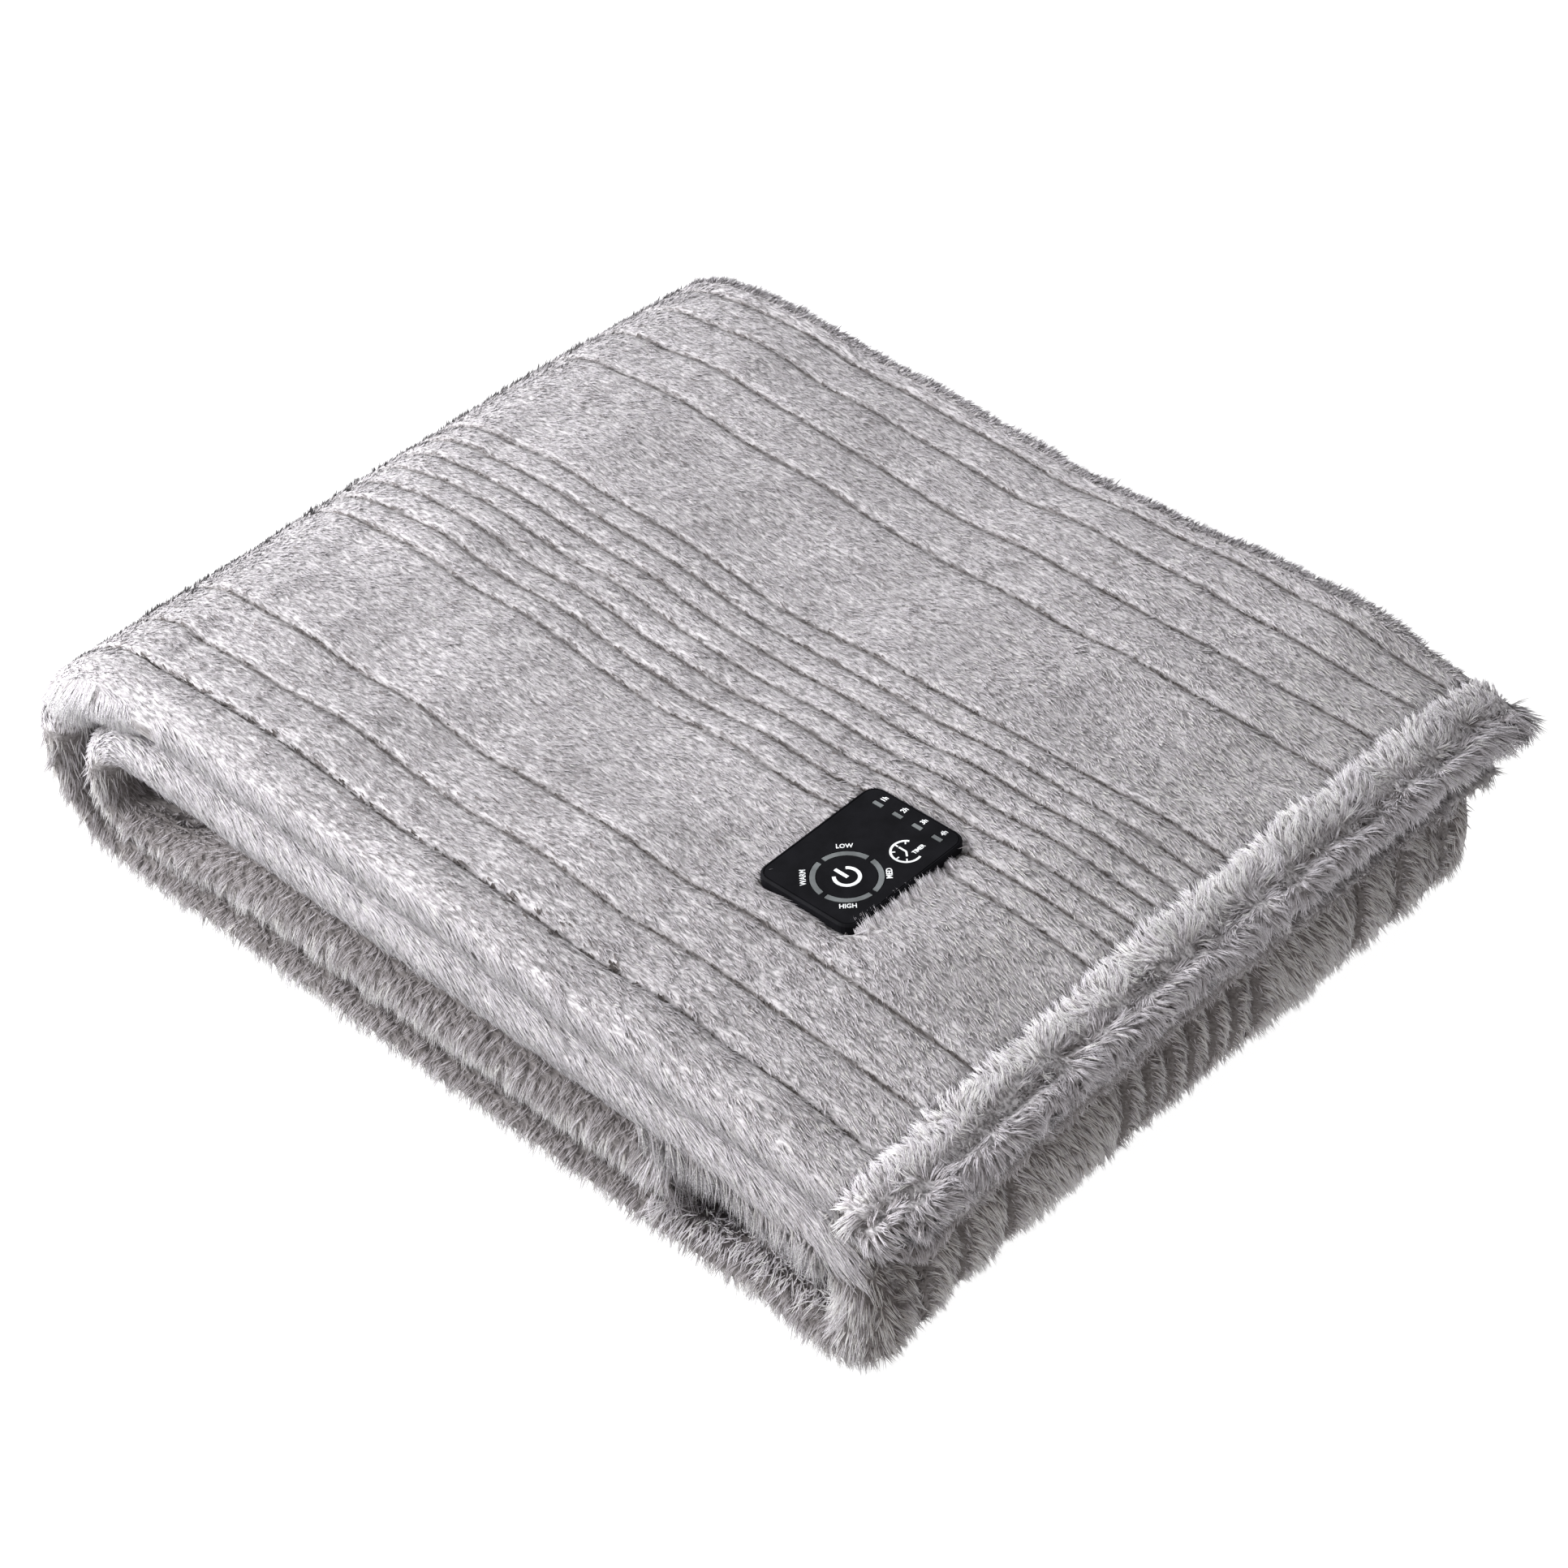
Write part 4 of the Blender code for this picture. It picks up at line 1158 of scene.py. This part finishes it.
def clump_front(hair, patch, rng):
    """Painted shade on the upright clumps where the front layers face up under the layers above, lighter where they
    face down, and dark flecks.
    """
    clump = smooth(hair.up[:, 2] + 0.30 * hair.uneven(0.005, 27), -0.30, 0.50)
    hair.tone *= (1.12 - 0.68 * clump) * (1 + 0.10 * rng.normal(0, 1, patch.hairs))
    hair.tone *= np.where(hair.uneven(0.0022, 28) > 0.6, 0.50, 1.06)
    hair.lift = hair.lift + 0.4 * clump


def fringe_mouth(hair, patch, rng):
    """Longest over the third layer's open end."""
    hair.length *= 1.35 - 0.35 * smooth(hair.x, 0.112, 0.128)


def taper_drape(hair, patch, rng):
    """Longer toward the left fold."""
    hair.length *= smooth(-hair.x, 0.140, 0.172)


HEM_PATCHES = ("pile_welt", "pile_hem", "pile_lip")
TOUCHES = {**dict.fromkeys(HEM_PATCHES, part_hem), "pile_right_fold": shear_right_fold,
           "pile_front_layers": clump_front, "pile_mouth": fringe_mouth,
           "pile_left_drape": taper_drape}


def leaning(hair, ground, patch):
    """The ways in which the hairs lie along the cloth."""
    x, y, z, up = hair.x, hair.y, hair.z, hair.up
    lean = hair.lay
    if patch.name in HEM_PATCHES:
        lean = hair.root - np.array([ground.seam.find(p)[0] for p in hair.root])
        lean = lean + 0.0022 * np.column_stack(
            [waves(y, x + z, 0.007, seed) for seed in (61, 62, 63)])
    if patch.comb:
        bent = np.zeros((len(x), 1))
        if patch.comb is ALONG:
            bent = smooth(-x, 0.145, 0.175)[:, None]
        elif patch.comb is SIDE:
            bent = smooth(y, -0.140, -0.100)[:, None]
        lean = lean * bent + np.array(patch.comb) * (1 - bent)
    lean = unit(lean - up * (lean * up).sum(1, keepdims=True))
    across = np.cross(up, lean)
    flow = 0.06 * hair.uneven(0.050, 21) + 0.07 * hair.uneven(0.007, 22)
    if patch.name.startswith("pile_top"):
        flow = flow - 0.05 - 0.45 * smooth(x, -0.05, 0.16)
    elif patch.name in HEM_PATCHES:
        flow = flow + 0.55 * waves(y, x + z, 0.012, 25)
    return lean * np.cos(flow)[:, None] + across * np.sin(flow)[:, None]


def combed(ground, patch, mine, pile, rng):
    """One patch's hairs before they gather into locks."""
    hair = Hairs(ground, patch, mine, rng)
    top = patch.name.startswith("pile_top")
    lean = leaning(hair, ground, patch)
    hair.lift = patch.lift * (1 + 0.25 * hair.uneven(0.007, 23))
    spread = 0.14 if top else 0.17
    hair.tone = 1 + spread * rng.normal(0, 1, patch.hairs) + 0.02 * hair.uneven(0.016, 31)
    hair.tone *= np.where(rng.random(patch.hairs) < 0.10, 0.68, 1.02)
    hair.length = (pile.short * patch.short + pile.long * patch.long) * (
        rng.uniform(0.72, 1.18, patch.hairs) * (1 + 0.12 * hair.uneven(0.009, 24)))
    # painted shade: hairs in the cloth's grooves start darker
    hair.dark = smooth(hair.groove, 0.05, 0.60)
    touch = shear_top if top else TOUCHES.get(patch.name)
    if touch:
        touch(hair, patch, rng)
    # painted shade: hairs on cloth that few rays leave are drawn darker
    hair.tone *= 0.80 + 0.20 * smooth(hair.open, 0.0, 0.4)
    # painted shade takes the dark share of the tone away; the patch's shade paints its light and shade
    loss = 0.50 * hair.dark * rng.uniform(0.5, 1.3, patch.hairs)
    hair.tone = np.clip(hair.tone, 0.40, 1.40) * (1 - np.minimum(loss, 0.85)) * patch.shade
    least = 0.72 if top else 0.55 if patch.name == "pile_right_fold" else 0.20
    hair.length *= np.maximum(1 - 0.60 * hair.dark, least)
    room = hair.room * 0.9 / np.clip(hair.lift, 0.25, 1.0)
    hair.length = np.minimum(hair.length, np.maximum(room, 0.0022))
    aim = lean * (1 - 0.45 * patch.lift) + hair.up * np.maximum(hair.lift, 0.08)[:, None]
    aim[:, 1] += hair.part
    hair.aim = unit(aim + patch.stray * rng.normal(0, 1, (patch.hairs, 3)))
    if patch.name == "pile_top_edge":
        hair.up = unit(hair.up + (0.0, -0.3, 1.2))      # shaded as the top is, not as the back
    droop = np.column_stack([hair.uneven(0.008, 51), hair.uneven(0.008, 52),
                             -0.5 * np.ones(patch.hairs)])
    hair.bend = patch.curve * (droop + 0.35 * rng.normal(0, 1, (patch.hairs, 3)))
    return hair


def gathered(hair, patch, rng):
    """Aims turned so that neighbouring hairs meet in pointed locks."""
    root, length = hair.root, hair.length[:, None]
    seeds = rng.choice(len(root), max(8, len(root) // 7), replace=False)
    tree = KDTree(len(seeds))
    for number, index in enumerate(seeds):
        tree.insert(root[index], number)
    tree.balance()
    near = np.fromiter((seeds[tree.find(p)[1]] for p in root), int, len(root))
    meet = root[near] + hair.aim[near] * length[near] * 1.05
    tip = root + hair.aim * length
    far = np.linalg.norm(root - root[near], axis=1) > patch.lock
    share = np.where(far, 0.0, patch.gather)[:, None]
    aim = unit(tip * (1 - share) + meet * share - root)
    low = np.clip((aim * hair.up).sum(1, keepdims=True), -1, 0.16)
    return unit(aim + hair.up * (0.16 - low))


def shorn(hair, aim, rng):
    """Lengths of the top's hairs, cut where they would lie across a groove."""
    length = hair.length.copy()
    ragged = rng.uniform(0.50, 1.35, len(length))

    def over(share):
        """Whether each hair crosses a groove at this share of its length."""
        x, y = (hair.root + aim * (hair.length * share)[:, None])[:, :2].T
        gap, first = groove_gap(x, y, True)
        return np.abs(gap) < ragged * groove_half(x, y, first)

    outside = ~over(0.0)
    for share in (0.25, 0.45, 0.70, 1.0):
        cut = np.minimum(length, hair.length * (share - 0.12))
        length = np.where(over(share) & outside, cut, length)
    return length


def tinted(colour, tone):
    """The colour at each tone, a little warmer where it is darker."""
    warm = np.minimum(tone, 1.0)[:, None] ** np.array([0.0, 0.05, 0.10])
    return np.minimum(np.array(colour) * tone[:, None] * warm, 0.95)


def grow_patch(ground, patch, number, where, pile, material):
    """One patch of pile as a piece, with its own random draws."""
    rng = np.random.default_rng(pile.seed + number)
    mine = np.flatnonzero(where == number)
    if len(mine) < 10:
        raise RuntimeError(f"{patch.name} finds no cloth to grow on")
    hair = combed(ground, patch, mine, pile, rng)
    aim, length = gathered(hair, patch, rng), hair.length
    beside_grooves = patch.name.startswith("pile_top_")
    if beside_grooves:
        length = shorn(hair, aim, rng)
    width = pile.hair * patch.wide * rng.uniform(0.7, 1.15, len(aim))
    # on the top, hairs darkened by painted shade are drawn wider
    if beside_grooves:
        width *= 1 + 0.7 * smooth(-hair.tone, -0.60, -0.35)
    distance = beside_panel(hair.root[:, 0] - CENTRE[0], hair.root[:, 1] - CENTRE[1])
    clear = ~((hair.up[:, 2] > 0.6) & (distance < 0.0008))
    tip = tinted(pile.tip, hair.tone)
    # painted shade: each hair's foot is drawn toward the dark root colour
    foot = tinted(pile.root, hair.tone) * (1 - patch.foot) + tip * patch.foot
    root = hair.root - hair.up * 0.0003
    made = hair_mesh(patch.name, root[clear], hair.up[clear], aim[clear], length[clear],
                     width[clear], (foot[clear], tip[clear]), material,
                     hair.bend[clear] if patch.curve else None)
    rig.slot(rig.ride(made, "root"), "plush")
    return made


# --- the panel's print

def panel_frame():
    """Matrix of the panel's own axes, on the cloth's upper face and tilted with it."""
    x, y = PANEL_AT
    step = 0.02
    at, right, left, far, near = (
        Vector([float(c) for c in settle(np.array(x + i), np.array(y + j), STACK, False)])
        for i, j in ((0, 0), (step, 0), (-step, 0), (0, step), (0, -step)))
    up = (right - left).cross(far - near).normalized()
    across = up.cross(right - left).normalized()
    turned = Matrix((across.cross(up), across, up)).transposed().to_4x4()
    return Matrix.Translation(at + Vector((*CENTRE, 0.0))) @ turned


INK_HEIGHT = 0.00010
POWER_RADIUS = 0.0043
POWER_LINE = 0.0013
POWER_UP = (-0.0053, -0.0024, 0.0004)       # the upright stroke, from the ring's middle
CLOCK_AT = (0.0099, 0.0109)
CLOCK_RADIUS = 0.0052
CLOCK_LINE = 0.0008
CLOCK_HOURS = (135, 180, 225, 270, 315)
CLOCK_MARK = (0.0036, 0.0042, 0.0047)
CLOCK_HANDS = ((-0.0032, 0.0), (0.0018, -0.0016))
WORDS = (   # text, height against the letters', middle, way it reads
    ("LOW", 1.0, (-0.0073, -0.0003), (1, 1)), ("HIGH", 1.0, (0.0130, -0.0211), (1, 1)),
    ("WARM", 1.0, (-0.0073, -0.0208), (-1, 1)), ("MED", 1.0, (0.0127, -0.0006), (-1, 1)),
    ("TIMER", 0.78, (0.0122, 0.0145), (0, 1)),
    ("1h", 1.0, (-0.0128, 0.0258), (0, 1)), ("2h", 1.0, (-0.0041, 0.0258), (0, 1)),
    ("3h", 1.0, (0.0046, 0.0258), (0, 1)), ("4h", 1.0, (0.0133, 0.0258), (0, 1)),
)


def arc(middle, radius, start, end, steps):
    """Points on an arc between two angles in degrees."""
    turn = np.radians(np.linspace(start, end, steps + 1))
    return np.column_stack([middle[0] + radius * np.cos(turn), middle[1] + radius * np.sin(turn)])


def stroke(body, points, width):
    """Closed raised line of a width along flat points, added to a bmesh."""
    points = np.asarray(points, float)
    way = unit(np.gradient(points, axis=0))
    aside = np.column_stack([-way[:, 1], way[:, 0]]) * width / 2
    rows = [[body.verts.new((*(point + side * off), height))
             for side, height in ((1, 0), (-1, 0), (-1, INK_HEIGHT), (1, INK_HEIGHT))]
            for point, off in zip(points, aside)]
    for one, two in zip(rows, rows[1:]):
        for k in range(4):
            body.faces.new((one[k], one[(k + 1) % 4], two[(k + 1) % 4], two[k]))
    body.faces.new(rows[0][::-1])
    body.faces.new(rows[-1])


def word(body, text, height, middle, read):
    """Closed raised letters, added to a bmesh, reading one way on the panel's face."""
    curve = bpy.data.curves.new("word", "FONT")
    curve.body, curve.resolution_u, curve.extrude, curve.offset = text, 2, 0.05, 0.018
    curve.align_x, curve.align_y = "CENTER", "CENTER"
    letters = bpy.data.objects.new("word", curve)
    mesh = bpy.data.meshes.new_from_object(letters)
    points = np.array([vert.co for vert in mesh.vertices])
    low, high = points.min(0), points.max(0)
    size = height / (high[1] - low[1])
    across = np.array([*read, 0.0]) / math.hypot(*read)
    tops = np.cross([0, 0, 1.0], across)
    points -= (low + high) / 2
    placed = (np.array([*middle, INK_HEIGHT / 2]) + np.outer(points[:, 0] * size * 0.86, across)
              + np.outer(points[:, 1] * size, tops) + np.outer(points[:, 2], [0, 0, 10])
              * INK_HEIGHT)
    mesh.vertices.foreach_set("co", placed.astype(np.float32).ravel())
    body.from_mesh(mesh)
    bpy.data.objects.remove(letters)
    bpy.data.curves.remove(curve)
    bpy.data.meshes.remove(mesh)


def printed(name, body, material):
    """The piece made from a bmesh that is drawn flat, laid on the panel's face."""
    bmesh.ops.remove_doubles(body, verts=body.verts, dist=1e-6)
    bmesh.ops.recalc_face_normals(body, faces=body.faces)
    mesh = bpy.data.meshes.new(name)
    body.to_mesh(mesh)
    body.free()
    mesh.transform(panel_frame() @ Matrix.Translation((0, 0, PANEL_PROUD - 0.00003)))
    mesh.materials.append(material)
    made = linked_object(name, mesh)
    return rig.slot(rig.ride(made, "root"), "light_window")


def moulded(name, colour, roughness, grain, **sockets):
    """Moulded plastic: fine grain, faint smears in its colour and gloss."""
    made = Finish(name, roughness, **sockets)
    where = made.places()
    smears = made.noise(where, 0.007, 3.0)
    made.colour(made.ramp(smears, (0.35, [0.80 * c for c in colour]),
                          (0.65, [1.25 * c for c in colour])))
    made.bump((made.noise(where, grain, 3.0), 0.00004), (smears, 0.00008))
    return made.material


# --- operators

class THROW_OT_cloth(bpy.types.Operator):
    """Makes the folded cloth's ground in place of its solid"""

    bl_idname = "throw.cloth"
    bl_label = "Fold the cloth"

    def execute(self, context):
        made = weave_cloth(context.scene.throw_cloth)
        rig.slot(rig.replaces(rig.ride(made, "root"), "blanket"), "plush")
        return {"FINISHED"}


class THROW_OT_pile(bpy.types.Operator):
    bl_idname = "throw.pile"
    bl_label = "Grow the pile"

    def execute(self, context):
        cloth = bpy.data.objects.get("cloth")
        if cloth is None:
            raise RuntimeError("the pile needs the cloth first")
        ground = Ground(cloth)
        where = patch_of(ground)
        material = pile_finish()
        grown = [grow_patch(ground, patch, number, where, context.scene.throw_pile, material)
                 for number, patch in enumerate(PATCHES)]
        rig.sheet(cloth, flat=(CUT_LENGTH, CUT_WIDTH), held="folded", rests_on=["floor"],
                 with_pieces=grown)
        return {"FINISHED"}


class THROW_OT_finish(bpy.types.Operator):
    """Gives the panel's housing, its touch face and its light windows their plastics"""

    bl_idname = "throw.finish"
    bl_label = "Finish the panel"

    def execute(self, context):
        black = tuple(context.scene.throw_panel.black)
        window = tuple(context.scene.throw_panel.window)
        finishes = {
            "panel_housing": moulded("panel_matt", black, 0.66, 0.0004, Specular_IOR_Level=0.05),
            "panel_face": moulded("panel_satin", black, 0.58, 0.0008, Specular_IOR_Level=0.05),
            "light": moulded("panel_window", window, 0.45, 0.0005, Specular_IOR_Level=0.3),
        }
        for name in frame["nodes"]:
            key = "light" if "_light_" in name else name
            if key in finishes:
                for slot in bpy.data.objects[name].material_slots:
                    slot.link = "OBJECT"
                    slot.material = finishes[key]
        return {"FINISHED"}


class THROW_OT_print(bpy.types.Operator):
    """Prints the heat and timer words, the power sign and the clock on the panel"""

    bl_idname = "throw.print"
    bl_label = "Print the panel"

    def execute(self, context):
        settings = context.scene.throw_panel
        ink = moulded("panel_ink", tuple(settings.ink), 0.50, 0.0003, Specular_IOR_Level=0.3)
        words, power, clock = bmesh.new(), bmesh.new(), bmesh.new()
        for text, height, middle, read in WORDS:
            word(words, text, settings.letter * height, middle, read)
        stroke(power, arc(RING_AT, POWER_RADIUS, 222, 498, 28), POWER_LINE)
        stroke(power, [(RING_AT[0] + x, RING_AT[1]) for x in POWER_UP], POWER_LINE)
        stroke(clock, arc(CLOCK_AT, CLOCK_RADIUS, 120, 374, 30), CLOCK_LINE)
        middle = np.array(CLOCK_AT)
        for angle in np.radians(CLOCK_HOURS):
            way = np.array([math.cos(angle), math.sin(angle)])
            stroke(clock, [middle + way * r for r in CLOCK_MARK], 0.0005)
        for hand in CLOCK_HANDS:
            stroke(clock, [middle + np.array(hand) * r for r in (0.0, 0.5, 1.0)], 0.0007)
        for name, body in (("panel_words", words), ("power_sign", power), ("timer_sign", clock)):
            printed(name, body, ink)
        return {"FINISHED"}


FLOOR_REACH = 6.0
LAMPS = (   # name, place, width, share of the key light's power, colour
    ("key_light", (-1.13, -1.04, 0.80), 1.0, 1.0, (1.0, 1.0, 1.0)),
    ("top_light", (-0.3, 0.2, 1.9), 1.4, 0.25, (1.0, 1.0, 1.0)),
    ("fill_light", (1.3, -0.8, 0.55), 1.2, 0.065, (1.0, 0.94, 0.88)),
)
LAMP_AIM = (0.0, 0.0, 0.05)
CAMERA_AIM = (0.00626, 0.00132, 0.03853)    # from the folds' own origin
CAMERA_AWAY = 1.5606


class THROW_OT_stage(bpy.types.Operator):
    """Sets the floor, the light and the camera"""

    bl_idname = "throw.stage"
    bl_label = "Set the stage"

    def execute(self, context):
        stage = context.scene.throw_stage
        made = Finish("floor", 0.9, Emission_Color=(1, 1, 1, 1), Emission_Strength=0.95)
        grain = made.noise(made.places(), 0.02, 2.0)
        light, dark = tuple(stage.floor), tuple(0.99 * c for c in stage.floor)
        made.colour(made.ramp(grain, (0.4, dark), (0.6, light)))
        corners = [(x * FLOOR_REACH, y * FLOOR_REACH, 0)
                   for x, y in ((-1, -1), (1, -1), (1, 1), (-1, 1))]
        floor = mesh_object("floor", corners, [0, 1, 2, 3], [4], made.material)
        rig.stage(floor)
        self.surround(context.scene, stage.sky)
        for name, place, size, share, colour in LAMPS:
            self.lamp(name, place, size, stage.key * share, colour)
        back = Vector((math.sin(stage.azimuth) * math.cos(stage.elevation),
                       -math.cos(stage.azimuth) * math.cos(stage.elevation),
                       math.sin(stage.elevation)))
        eye = bpy.data.cameras.new("camera")
        eye.lens, eye.sensor_width = stage.lens, 36.0
        camera = linked_object("camera", eye)
        camera.location = Vector(CAMERA_AIM) + Vector((*CENTRE, 0.0)) + back * CAMERA_AWAY
        camera.rotation_euler = back.to_track_quat("Z", "Y").to_euler()
        context.scene.camera = camera
        context.scene.view_settings.view_transform = "Standard"
        return {"FINISHED"}

    @staticmethod
    def surround(scene, strength):
        """Even white light, and a white background behind the floor."""
        world = bpy.data.worlds.new("surroundings")
        world.use_nodes = True
        tree = world.node_tree
        path = tree.nodes.new("ShaderNodeLightPath")
        share = tree.nodes.new("ShaderNodeMapRange")
        share.inputs["To Min"].default_value = strength
        tree.links.new(path.outputs["Is Camera Ray"], share.inputs["Value"])
        tree.nodes["Background"].inputs["Color"].default_value = (1, 1, 1, 1)
        tree.links.new(share.outputs["Result"], tree.nodes["Background"].inputs["Strength"])
        scene.world = world

    @staticmethod
    def lamp(name, place, size, power, colour):
        """Round soft lamp that shines at the throw."""
        data = bpy.data.lights.new(name, "AREA")
        data.shape, data.size, data.energy, data.color = "DISK", size, power, colour
        lamp = linked_object(name, data)
        lamp.location = place
        lamp.rotation_euler = (Vector(place) - Vector(LAMP_AIM)).to_track_quat(
            "Z", "Y").to_euler()


class THROW_PT_panel(bpy.types.Panel):
    """Sizes, colours and steps of the folded heated throw"""

    bl_idname = "THROW_PT_panel"
    bl_label = "Folded heated throw"
    bl_space_type = "VIEW_3D"
    bl_region_type = "UI"
    bl_category = "Heated throw"

    def draw(self, context):
        layout = self.layout
        for step, key in STEPS:
            layout.operator(step.bl_idname)
            settings = getattr(context.scene, key, None)
            for name in settings.bl_rna.properties.keys() if settings else ():
                if name not in ("rna_type", "name"):
                    layout.prop(settings, name)


STEPS = ((THROW_OT_cloth, "throw_cloth"), (THROW_OT_pile, "throw_pile"),
         (THROW_OT_finish, "throw_panel"), (THROW_OT_print, "throw_panel"),
         (THROW_OT_stage, "throw_stage"))
SETTINGS = {"throw_cloth": ClothSettings, "throw_pile": PileSettings,
            "throw_panel": PanelSettings, "throw_stage": StageSettings}


def register():
    for key, group in SETTINGS.items():
        bpy.utils.register_class(group)
        setattr(bpy.types.Scene, key, PointerProperty(type=group))
    for step, _ in STEPS:
        bpy.utils.register_class(step)
    bpy.utils.register_class(THROW_PT_panel)


def unregister():
    bpy.utils.unregister_class(THROW_PT_panel)
    for step, _ in reversed(STEPS):
        bpy.utils.unregister_class(step)
    for key, group in reversed(SETTINGS.items()):
        delattr(bpy.types.Scene, key)
        bpy.utils.unregister_class(group)


def main():
    register()
    bpy.ops.throw.cloth()
    bpy.ops.throw.pile()
    bpy.ops.throw.finish()
    bpy.ops.throw.print()
    bpy.ops.throw.stage()
    sizes = {"cad": CAD_BOX, "visual": [list(corner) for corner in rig.bounds()]}
    with open("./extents.json", "w") as out:
        json.dump(sizes, out)


if __name__ == "__main__":
    main()
